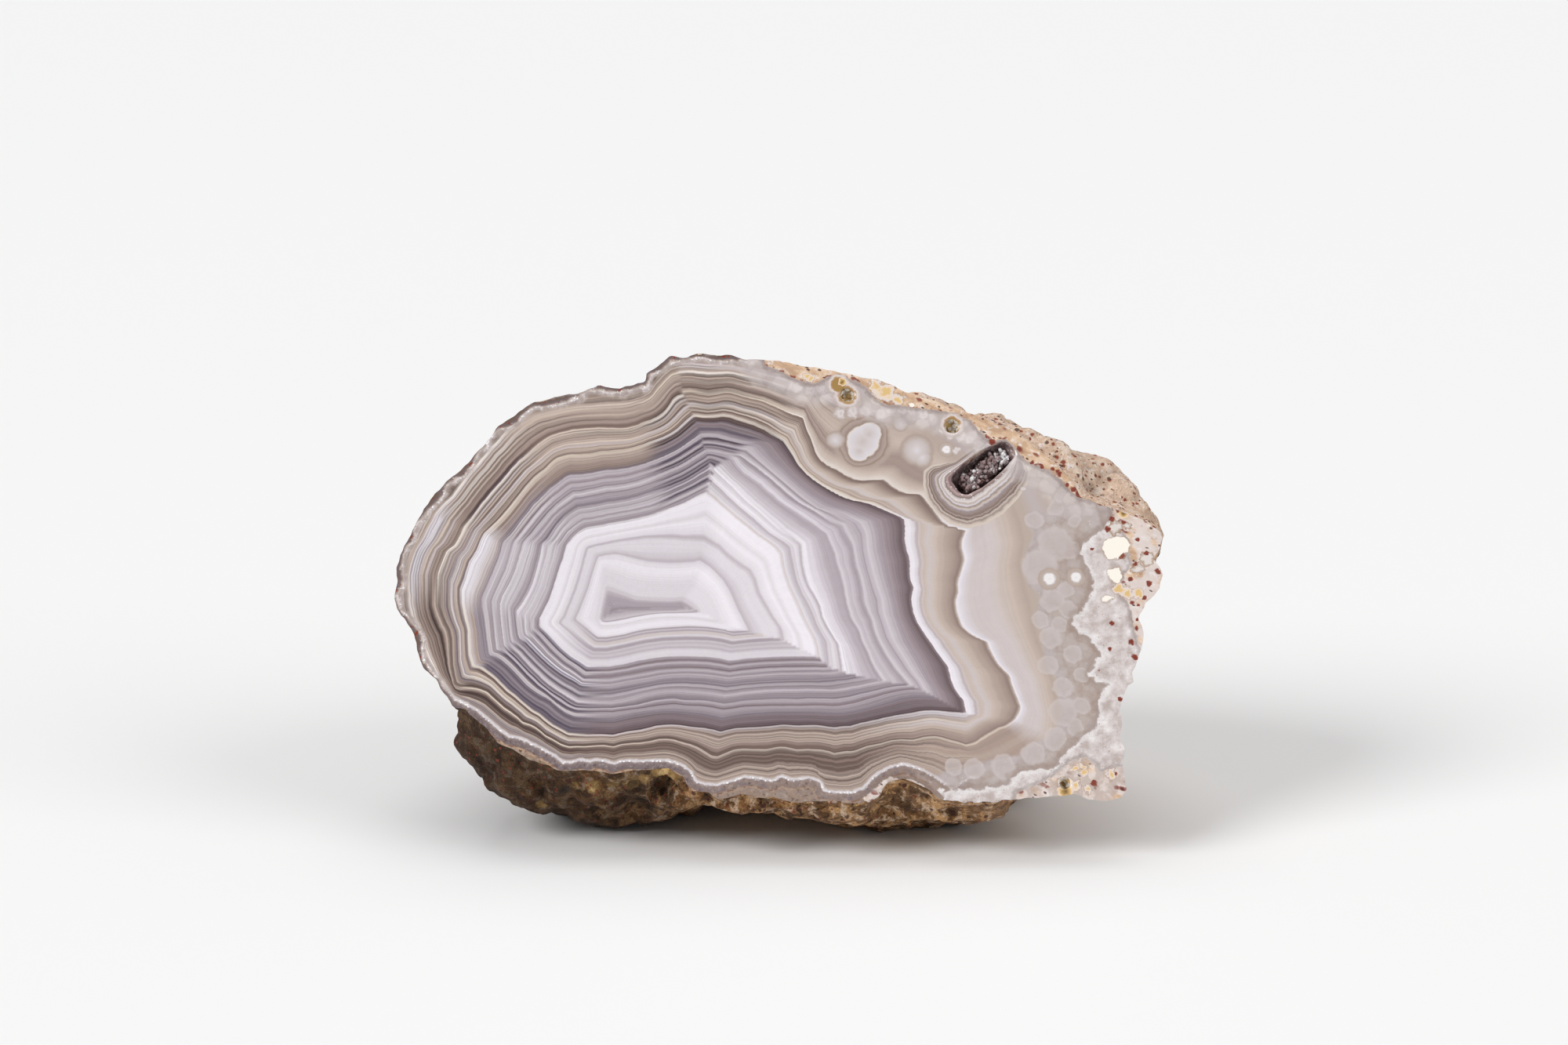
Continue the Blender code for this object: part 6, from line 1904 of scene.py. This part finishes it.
@dataclass
class AgateStone:
    """The cut and polished half nodule: a finely meshed flat face and a weathered rind, in one piece."""

    node: bpy.types.Object
    plane: FacePlane
    view: PhotoView
    strata: Strata
    lowest: Vector
    highest: Vector
    face_spacing_mm: float = 0.28
    clear_of_edge_mm: float = 0.15
    rind_cuts: int = 3
    rind_roundness: float = 0.6
    rind_start_mm: float = 0.25
    rind_full_mm: float = 1.6
    grains: tuple[tuple[float, float], ...] = ((2.6, 0.3), (1.4, 0.24), (0.8, 0.14), (0.5, 0.08))
    grains_sink: float = 0.25
    rim_grains: tuple[tuple[float, float], ...] = ((1.6, 0.16), (0.7, 0.12))
    rim_swell: float = 0.3
    bake_margin: float = 0.004
    seed: int = 5
    random_hollows: int = 260
    hollow_clear_mm: float = 1.5
    smallest_hollow_mm: float = 0.5
    hollow_spread_mm: float = 1.2
    hollow_shares: tuple[float, float] = (0.25, 0.35)
    hollow_reach: float = 1.2
    hollow_steepness: float = 1.5
    sharp_degrees: float = 28.0
    deepest_hollow_mm: float = 3.4
    slot_middle: tuple[float, float] = (21.55, 11.8)
    slot_size: tuple[float, float] = (7.1, 2.5)
    slot_turn_degrees: float = 37.5
    round_hollows: tuple[tuple[float, float, float], ...] = (
        (18.3, 16.0, 0.85), (7.9, 19.3, 0.75), (28.9, -20.6, 0.6),
    )
    wall_reach_mm: float = 0.4
    wall_taper_a_mm: float = 0.25
    item: bpy.types.Object = field(init=False)
    rind_ambers: list[tuple[Vector, float]] = field(init=False)
    swells: list[tuple[Vector, float, float]] = field(init=False)
    outline: np.ndarray = field(init=False)

    def build(self) -> bpy.types.Object:
        """Make the stone.

        Returns:
            The finished piece, without a material.
        """
        self.item = copy_of_node(self.node, "banded_stone")
        self.open_face()
        self.refine_rind()
        self.weather_rind()
        self.fill_face()
        self.shade()
        self.lay_bands()
        self.lay_bake_map()
        return self.item

    def open_face(self) -> None:
        """Take the flat polished faces away, so that only the rind and the hollows are left."""
        outward = self.plane.outward
        origin = self.plane.origin
        vertices = self.item.data.vertices

        def on_face(polygon: bpy.types.MeshPolygon) -> bool:
            """Tell whether a face lies flat in the polished plane."""
            return all(
                abs((vertices[index].co - origin).dot(outward)) < FacePlane.FLATNESS_M
                for index in polygon.vertices
            )

        select_only(self.item)
        choose_faces(self.item, on_face)
        bpy.ops.object.mode_set(mode="EDIT")
        bpy.ops.mesh.select_mode(type="FACE")
        bpy.ops.mesh.delete(type="FACE")
        bpy.ops.object.mode_set(mode="OBJECT")

    def refine_rind(self) -> None:
        """Part each face of the rind and the hollows into small ones, the rind's a little rounded."""
        select_only(self.item)
        bpy.ops.object.mode_set(mode="EDIT")
        bpy.ops.mesh.select_all(action="SELECT")
        bpy.ops.mesh.subdivide(number_cuts=self.rind_cuts, smoothness=self.rind_roundness)
        bpy.ops.object.mode_set(mode="OBJECT")

    def weather_rind(self) -> None:
        """Roughen and carve the rind, and keep it in the CAD box and its edge in the face's plane."""
        shape = bmesh.new()
        shape.from_mesh(self.item.data)
        shape.normal_update()
        carving = self.carving(shape)
        moves = []
        for vertex in shape.verts:
            depth = self.plane.measure(vertex.co)[2]
            place = vertex.co / MM
            swell = 0.0
            for middle, radius, rise in self.swells:
                swell = max(swell, rise * eased(radius, 0.0, (place - middle).length))
            if vertex.is_boundary:
                sideways = vertex.normal - self.plane.outward * vertex.normal.dot(self.plane.outward)
                uneven = sum(amount * noise.noise(place / size) for size, amount in self.rim_grains)
                forward = self.plane.outward * depth * MM
                moves.append(forward + sideways * (uneven + swell * self.rim_swell) * MM)
                continue
            height = -carving[vertex.index]
            for size, amount in self.grains:
                height += amount * (noise.noise(place / size) - self.grains_sink)
            fade = eased(self.rind_start_mm, self.rind_full_mm, depth)
            moves.append(vertex.normal * (height * fade + swell * max(fade, self.rim_swell)) * MM)
        for vertex, move in zip(shape.verts, moves):
            co = vertex.co + move
            for axis in range(3):
                co[axis] = min(max(co[axis], self.lowest[axis]), self.highest[axis])
            depth = self.plane.measure(co)[2]
            if depth < 0.0:
                co += self.plane.outward * depth * MM
            vertex.co = co
        shape.to_mesh(self.item.data)
        shape.free()
        lay_number(self.item.data, "carved", carving)

    def carving(self, shape: bmesh.types.BMesh) -> np.ndarray:
        """Work out how deep the rind's small hollows go at each vertex.

        Args:
            shape: the rind.

        Returns:
            The depths in millimetres, by the vertices' numbers.
        """
        surface = BVHTree.FromBMesh(shape)
        hollows = self.on_rind(surface, RIND_HOLLOWS)
        self.swells = self.on_rind(surface, RIND_SWELLS)
        self.rind_ambers = self.on_rind(surface, RIND_AMBERS)
        chance = random.Random(self.seed)
        rind = [vertex for vertex in shape.verts if self.plane.measure(vertex.co)[2] > self.hollow_clear_mm]
        for vertex in chance.sample(rind, self.random_hollows):
            radius = self.smallest_hollow_mm + self.hollow_spread_mm * chance.random() ** 3
            least, spread = self.hollow_shares
            hollows.append((vertex.co / MM, radius, least + spread * chance.random()))
        tree = KDTree(len(shape.verts))
        for vertex in shape.verts:
            tree.insert(vertex.co / MM, vertex.index)
        tree.balance()
        depths = np.zeros(len(shape.verts))
        for middle, radius, share in hollows:
            reach = radius * self.hollow_reach
            for _, index, distance in tree.find_range(middle, reach):
                fall = max(0.0, 1.0 - (distance / reach) ** 2)
                depths[index] = max(depths[index], radius * share * fall ** self.hollow_steepness)
        return depths

    def on_rind(self, surface: BVHTree, spots: Sequence[tuple[float, ...]]) -> list[tuple]:
        """Find where spots that the photograph shows lie on the rind.

        Args:
            surface: the rind.
            spots: for each its x, y and radius in photo pixels, and what else is known of it.

        Returns:
            For each its middle and radius in millimetres, and what else is known of it.
        """
        eye = self.view.eye()
        found = []
        for x, y, radius, *others in spots:
            hit = surface.ray_cast(eye, self.view.ray(x, y))[0]
            if hit is not None:
                found.append((hit / MM, radius * FacePlane.MM_PER_PIXEL[0], *others))
        return found

    def loops(self, shape: bmesh.types.BMesh) -> list[list[bmesh.types.BMVert]]:
        """Find the closed loops of open edges: the rim and the hollows' edges.

        Args:
            shape: the open shell.

        Returns:
            The loops, the longest first.
        """
        waiting = {edge for edge in shape.edges if edge.is_boundary}
        found = []
        while waiting:
            edge = min(waiting, key=lambda open_edge: open_edge.index)
            waiting.discard(edge)
            start, here = edge.verts
            loop = [start]
            while here is not start:
                loop.append(here)
                edge = next(other for other in here.link_edges if other in waiting)
                waiting.discard(edge)
                here = edge.other_vert(here)
            found.append(loop)
        return sorted(found, key=len, reverse=True)

    def inner_points(self, rim: np.ndarray, holes: list[np.ndarray]) -> np.ndarray:
        """Spread points in rows over the face, clear of its edges.

        Args:
            rim: the rim, rows of u and v.
            holes: the edges of the hollows.

        Returns:
            Rows of u and v.
        """
        low = rim.min(0)
        high = rim.max(0)
        row_gap = self.face_spacing_mm * math.sqrt(0.75)
        rows = int((high[1] - low[1]) / row_gap)
        columns = int((high[0] - low[0]) / self.face_spacing_mm)
        row, column = np.mgrid[0:rows, 0:columns]
        u = low[0] + (column + 0.5 * (row % 2)) * self.face_spacing_mm
        v = low[1] + row * row_gap
        points = np.stack([u.ravel(), v.ravel()], 1)
        points = points[lies_inside(points, rim)]
        for outline in [rim] + holes:
            points = points[distance_to_line(points, outline) > self.clear_of_edge_mm]
        for outline in holes:
            points = points[~lies_inside(points, outline)]
        return points

    def fill_face(self) -> None:
        """Fill the opening with a flat, finely meshed face that has the hollows' edges as holes."""
        shape = bmesh.new()
        shape.from_mesh(self.item.data)
        loops = self.loops(shape)
        outlines = [
            np.array([self.plane.measure(vertex.co)[:2] for vertex in loop]) for loop in loops
        ]
        self.outline = outlines[0]
        spread = self.inner_points(outlines[0], outlines[1:])
        vertices = [vertex for loop in loops for vertex in loop]
        edges = []
        first = 0
        for loop in loops:
            count = len(loop)
            edges += [(first + step, first + (step + 1) % count) for step in range(count)]
            first += count
        flat = [Vector(point) for point in np.concatenate(outlines + [spread])]
        only_inside = 1
        triangles = delaunay_2d_cdt(flat, edges, [], only_inside, SAME_PLACE)[2]
        for u, v in spread:
            vertices.append(shape.verts.new(self.plane.place(u, v)))
        middles = np.array([
            sum((flat[corner] for corner in corners), Vector((0.0, 0.0))) / 3.0 for corners in triangles
        ])
        in_hole = np.zeros(len(middles), bool)
        for outline in outlines[1:]:
            in_hole |= lies_inside(middles, outline)
        for corners, skip in zip(triangles, in_hole):
            if not skip:
                shape.faces.new([vertices[corner] for corner in corners])
        open_edges = sum(1 for edge in shape.edges if not edge.is_manifold)
        log.info("face: %d triangles, %d open edges", len(triangles), open_edges)
        bmesh.ops.recalc_face_normals(shape, faces=shape.faces)
        shape.to_mesh(self.item.data)
        shape.free()

    def shade(self) -> None:
        """Shade the piece smooth, but for the edge between face and rind."""
        select_only(self.item)
        bpy.ops.object.shade_smooth_by_angle(angle=math.radians(self.sharp_degrees))

    def lay_bands(self) -> None:
        """Store the bands' level and the other measures that the finish reads."""
        mesh = self.item.data
        places = vertex_places(mesh)
        offset = (places - np.array(self.plane.origin)) / MM
        u = offset @ np.array(self.plane.right)
        v = offset @ np.array(self.plane.up)
        depth = -offset @ np.array(self.plane.outward)
        face = np.where(depth < FacePlane.SKIN_MM)[0]
        flat = np.stack([u[face], v[face]], 1)
        levels, along = self.strata.measure(flat)
        measures = {
            "strata": levels,
            "around": along,
            **{name: weight_at(along, stations) for name, stations in REGIONS.items()},
            "in_rim": signed_distance(flat, self.outline),
            "in_bands": signed_distance(flat, self.strata.outermost),
        }
        for name, outlines in GROUNDS.items():
            measures[name] = np.max(
                [signed_distance(flat, FacePlane.from_photo(outline)) for outline in outlines], axis=0
            )
        for name, values in measures.items():
            everywhere = np.zeros(len(places))
            everywhere[face] = values
            lay_number(mesh, name, everywhere)
        self.lay_sides(mesh, face, along)
        self.lay_walls(mesh, np.stack([u, v], 1), depth)

    def lay_walls(self, mesh: bpy.types.Mesh, flat: np.ndarray, depth: np.ndarray) -> None:
        """Mark the walls of the oblong hollow and of the small round ones.

        Args:
            mesh: the stone's mesh.
            flat: u and v of each vertex.
            depth: how deep behind the face each vertex lies.
        """
        in_slot, *in_round = self.hollows_at(flat, depth)
        lay_number(mesh, "slot_wall", in_slot)
        lay_number(mesh, "round_wall", np.any(in_round, axis=0))

    def hollows_at(self, flat: np.ndarray, depth: np.ndarray) -> list[np.ndarray]:
        """Tell which places lie on the walls or the floor of each hollow.

        Args:
            flat: u and v of each place.
            depth: how deep behind the face each place lies.

        Returns:
            True or False for each place, for the oblong hollow and then for each round one.
        """
        shallow = (depth > 0.0) & (depth < self.deepest_hollow_mm)
        along = math.radians(self.slot_turn_degrees)
        turn = np.array(((math.cos(along), -math.sin(along)), (math.sin(along), math.cos(along))))
        local = (flat - np.array(self.slot_middle)) @ turn
        found = [shallow & (np.abs(local) < np.array(self.slot_size) / 2.0 + self.wall_reach_mm).all(1)]
        for middle_u, middle_v, radius in self.round_hollows:
            far = np.hypot(flat[:, 0] - middle_u, flat[:, 1] - middle_v)
            found.append(shallow & (far < radius + self.wall_reach_mm))
        return found

    def lay_bake_map(self) -> None:
        """Lay the map for baking: the polished face above, the hollows in its holes, the rind below."""
        mesh = self.item.data
        offset = (vertex_places(mesh) - np.array(self.plane.origin)) / MM
        axes = np.array((self.plane.right, self.plane.up, -self.plane.outward))
        corners = np.zeros(len(mesh.loops), int)
        mesh.loops.foreach_get("vertex_index", corners)
        totals = np.zeros(len(mesh.polygons), int)
        mesh.polygons.foreach_get("loop_total", totals)
        owner = np.repeat(np.arange(len(totals)), totals)
        spots = (offset @ axes.T)[corners]
        middles = np.stack([np.bincount(owner, spots[:, axis]) for axis in range(3)], 1) / totals[:, None]
        low, high = spots.min(0), spots.max(0)
        scale = (1.0 - 2.0 * self.bake_margin) / (high[0] - low[0])
        polished = np.bincount(owner, spots[:, 2] > FacePlane.FLATNESS_M / MM) == 0
        in_hollows = self.hollows_at(middles[:, :2], middles[:, 2])
        place = np.zeros((len(spots), 2))
        for inside, hole in zip(in_hollows, [self.slot_middle] + [hole[:2] for hole in self.round_hollows]):
            chosen = inside[owner]
            taper = 1.0 - self.wall_taper_a_mm * spots[chosen, 2:]
            place[chosen] = np.array(hole) + (spots[chosen, :2] - np.array(hole)) * taper
        place[polished[owner]] = spots[polished[owner], :2]
        place = self.bake_margin + (place - low[:2]) * scale
        place[:, 1] += 1.0 - 2.0 * self.bake_margin - (high[1] - low[1]) * scale
        centre = (low + high) / 2.0 * (1.0, 1.0, 0.0)
        reach = np.abs(middles - centre) / ((high - low) / (2.0, 2.0, 1.0))
        way = reach.argmax(1)
        way = np.where(way == 2, 4, 2 * way + (middles > centre)[np.arange(len(way)), np.minimum(way, 1)])
        way[polished | np.any(in_hollows, axis=0)] = -1
        for number, (across, along, left, bottom, right, top) in enumerate(BAKE_PATCHES):
            chosen = (way == number)[owner]
            patch = spots[chosen][:, (across, along)]
            patch = (patch - patch.min(0)) / (patch.max(0) - patch.min(0))
            place[chosen] = np.array((left, bottom)) + patch * (right - left, top - bottom)
        mesh.uv_layers.new(name="OFBake").uv.foreach_set("vector", place.astype(np.float32).ravel())

    @staticmethod
    def lay_sides(mesh: bpy.types.Mesh, face: np.ndarray, along: np.ndarray) -> None:
        """Store how far each side's bands replace those of the sides before it.

        Args:
            mesh: the stone's mesh.
            face: the numbers of the vertices on the polished face.
            along: how far round the stone each of them lies.
        """
        total = np.zeros(len(face))
        for side in Side:
            weight = weight_at(along, side.value)
            weight = weight * weight * (3.0 - 2.0 * weight)
            total += weight
            share = np.zeros(len(mesh.vertices))
            share[face] = np.divide(weight, total, out=np.zeros(len(face)), where=total > 0.0)
            lay_number(mesh, side_attribute(side), share)


# The crystals in the oblong hollow

@dataclass
class DruseCrust:
    """The crust of small quartz crystals on the floor of the oblong hollow."""

    node: bpy.types.Object
    plane: FacePlane
    crystals: int = 420
    least_mm: float = 0.12
    spread_mm: float = 0.34
    stretch: tuple[float, float] = (0.8, 1.5)
    lean: float = 0.55
    model_thick_mm: float = 1.0
    model_column_mm: float = 1.6
    tip_share: float = 0.42
    tip_width: float = 0.16
    sunk_share: float = 0.35
    clear_of_face_mm: float = 0.25
    pale_end_mm: float = 2.3
    seed: int = 11

    def crystal(self) -> bpy.types.Mesh:
        """Model one crystal: a six-sided column with a pointed end, 1 mm thick and upright.

        Returns:
            Its mesh.
        """
        bpy.ops.object.select_all(action="DESELECT")
        bpy.ops.mesh.primitive_cylinder_add(
            vertices=6,
            radius=self.model_thick_mm / 2.0 * MM,
            depth=self.model_column_mm * MM,
            location=(0.0, 0.0, self.model_column_mm / 2.0 * MM),
        )
        item = bpy.context.active_object
        bpy.ops.object.transform_apply(location=True, rotation=True, scale=True)
        top = max(polygon.center.z for polygon in item.data.polygons)
        choose_faces(item, lambda polygon: polygon.center.z > top - FacePlane.FLATNESS_M)
        bpy.ops.object.mode_set(mode="EDIT")
        bpy.ops.mesh.select_mode(type="FACE")
        bpy.ops.mesh.extrude_region_move(TRANSFORM_OT_translate={"value": (0.0, 0.0, self.tip_share * MM)})
        size = (self.tip_width, self.tip_width, 1.0)
        bpy.ops.transform.resize(value=size, center_override=(0.0, 0.0, 0.0))
        bpy.ops.object.mode_set(mode="OBJECT")
        mesh = item.data
        bpy.data.objects.remove(item)
        return mesh

    def build(self) -> bpy.types.Object:
        """Grow crystals over the CAD crust.

        Returns:
            The finished piece, without a material.
        """
        bed = copy_of_node(self.node, "druse_crystals")
        lay_number(bed.data, "cloudy", np.zeros(len(bed.data.vertices)))
        shape = bmesh.new()
        shape.from_mesh(bed.data)
        surface = BVHTree.FromBMesh(shape)
        shape.free()
        corners = np.array([self.plane.measure(vertex.co) for vertex in bed.data.vertices])
        low, high = corners.min(0), corners.max(0)
        model = self.crystal()
        chance = random.Random(self.seed)
        grown = []
        while len(grown) < self.crystals:
            u = chance.uniform(low[0], high[0])
            v = chance.uniform(low[1], high[1])
            wide = self.least_mm + self.spread_mm * chance.random() ** 2
            tall = wide * chance.uniform(*self.stretch)
            lean = Vector((chance.uniform(-1.0, 1.0), chance.uniform(-1.0, 1.0), 0.0)) * self.lean
            twist = chance.uniform(0.0, math.pi)
            cloud = chance.random()
            start = self.plane.place(u, v, self.clear_of_face_mm)
            hit, _, _, _ = surface.ray_cast(start, -self.plane.outward)
            if hit is None:
                continue
            axis = (self.plane.outward + self.plane.right * lean.x + self.plane.up * lean.y).normalized()
            foot = hit - axis * tall * self.sunk_share * MM
            top = self.plane.measure(foot + axis * tall * (self.model_column_mm + self.tip_share) * MM)[2]
            if top < self.clear_of_face_mm:
                continue
            turn = axis.to_track_quat("Z", "Y").to_matrix().to_4x4() @ Matrix.Rotation(twist, 4, "Z")
            size = Matrix.Diagonal((wide, wide, tall, 1.0))
            mesh = model.copy()
            mesh.transform(Matrix.Translation(foot) @ turn @ size)
            pale = eased(self.pale_end_mm, 0.0, high[0] - u) if v > (low[1] + high[1]) / 2.0 else 0.0
            lay_number(mesh, "cloudy", np.full(len(mesh.vertices), max(cloud, pale)))
            item = bpy.data.objects.new("crystal", mesh)
            bpy.context.scene.collection.objects.link(item)
            grown.append(item)
        select_only(bed)
        for item in grown:
            item.select_set(True)
        bpy.ops.object.join()
        bed.name = "druse_crystals"
        return bed


@dataclass(frozen=True)
class SmokyQuartz:
    """Small smoky quartz crystals, some of them clouded white."""

    roughness: float = 0.14
    coat: float = 0.4
    coat_roughness: float = 0.05
    flaw_mm: float = 0.03

    def make(self) -> bpy.types.Material:
        """Build the material.

        Returns:
            The material.
        """
        paint = Paint("smoky_quartz")
        place = paint.node("ShaderNodeTexCoord", output="Object")
        solid = paint.scaled(place, 1.0 / MM)
        veil = paint.noise(solid, 1.2, 3.0)
        flaws = paint.noise(solid, 6.0, 3.0, 0.6)
        cloudy = paint.attribute("cloudy") + (flaws - 0.5) * 0.5
        colour = paint.mix(veil.rise(0.35, 0.65), T.SMOKE_DARK, T.SMOKE)
        colour = paint.mix(cloudy.rise(0.3, 0.6) * 0.7, colour, T.PLUM)
        colour = paint.mix(cloudy.rise(0.6, 0.82), colour, T.GLINT)
        paint.feed(paint.surface.inputs["Base Color"], colour)
        paint.feed(paint.surface.inputs["Roughness"], flaws * 0.25 + self.roughness)
        paint.surface.inputs["Coat Weight"].default_value = self.coat
        paint.surface.inputs["Coat Roughness"].default_value = self.coat_roughness
        paint.feed(paint.surface.inputs["Normal"], paint.bump(flaws, self.flaw_mm))
        return paint.material


@dataclass
class Studio:
    """The pale floor, the soft lights and the camera at the photograph's own angle."""

    view: PhotoView
    floor_size_m: float = 4.0
    floor_tone: float = 0.9
    floor_roughness: float = 0.6
    camera_nearest_m: float = 0.01
    surroundings: float = 0.29
    suns: tuple[tuple[str, tuple[float, float, float], float, float], ...] = (
        ("key_sun", (-0.95, -0.5, 0.75), 30.0, 1.95),
        ("fill_sun", (1.0, -0.45, 0.7), 40.0, 0.95),
        ("top_sun", (0.0, 0.4, 1.0), 50.0, 0.9),
    )

    def set_camera(self) -> None:
        """Create the camera."""
        lens = bpy.data.cameras.new("studio_camera")
        lens.lens = self.view.lens_mm
        lens.sensor_width = self.view.sensor_mm
        lens.clip_start = self.camera_nearest_m
        camera = bpy.data.objects.new("studio_camera", lens)
        camera.location = self.view.eye()
        camera.rotation_euler = self.view.look().to_track_quat("-Z", "Y").to_euler()
        bpy.context.scene.collection.objects.link(camera)
        bpy.context.scene.camera = camera

    def lay_floor(self) -> bpy.types.Object:
        """Lay the plain pale floor."""
        bpy.ops.object.select_all(action="DESELECT")
        bpy.ops.mesh.primitive_plane_add(size=self.floor_size_m, location=(0.0, 0.0, 0.0))
        floor = bpy.context.active_object
        floor.name = "floor"
        material = bpy.data.materials.new("pale_floor")
        material.use_nodes = True
        surface = material.node_tree.nodes["Principled BSDF"]
        surface.inputs["Base Color"].default_value = (*[self.floor_tone] * 3, 1.0)
        surface.inputs["Roughness"].default_value = self.floor_roughness
        floor.data.materials.append(material)
        return floor

    def set_lights(self) -> None:
        """Place the wide soft lights and the pale surroundings."""
        world = bpy.data.worlds.new("studio")
        world.use_nodes = True
        back = world.node_tree.nodes["Background"]
        back.inputs["Color"].default_value = (1.0, 1.0, 1.0, 1.0)
        back.inputs["Strength"].default_value = self.surroundings
        bpy.context.scene.world = world
        for name, toward, width_degrees, strength in self.suns:
            lamp = bpy.data.lights.new(name, "SUN")
            lamp.angle = math.radians(width_degrees)
            lamp.energy = strength
            item = bpy.data.objects.new(name, lamp)
            item.location = toward
            item.rotation_euler = (-Vector(toward)).to_track_quat("-Z", "Y").to_euler()
            bpy.context.scene.collection.objects.link(item)


def main() -> None:
    """Build the pieces in order and report each."""
    logging.basicConfig(level=logging.INFO, format="%(name)s: %(message)s")
    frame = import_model()
    lowest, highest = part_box("agate_stone")
    nodes = frame["nodes"]
    plane = FacePlane.of(nodes["agate_stone"])
    view = PhotoView(plane)
    bpy.context.scene.view_settings.view_transform = "Standard"
    stone = AgateStone(nodes["agate_stone"], plane, view, Strata(), lowest, highest)
    piece = stone.build()
    piece.data.materials.append(BandedAgate(plane, stone.rind_ambers).make())
    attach(piece, "root")
    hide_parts("agate_stone")
    log.info("banded_stone: %d faces", len(piece.data.polygons))
    druse = DruseCrust(nodes["druse_crust"], plane).build()
    druse.data.materials.append(SmokyQuartz().make())
    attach(druse, "root")
    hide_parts("druse_crust")
    log.info("druse_crystals: %d faces", len(druse.data.polygons))
    studio = Studio(view)
    studio.set_camera()
    studio.lay_floor()
    studio.set_lights()


if __name__ == "__main__":
    main()
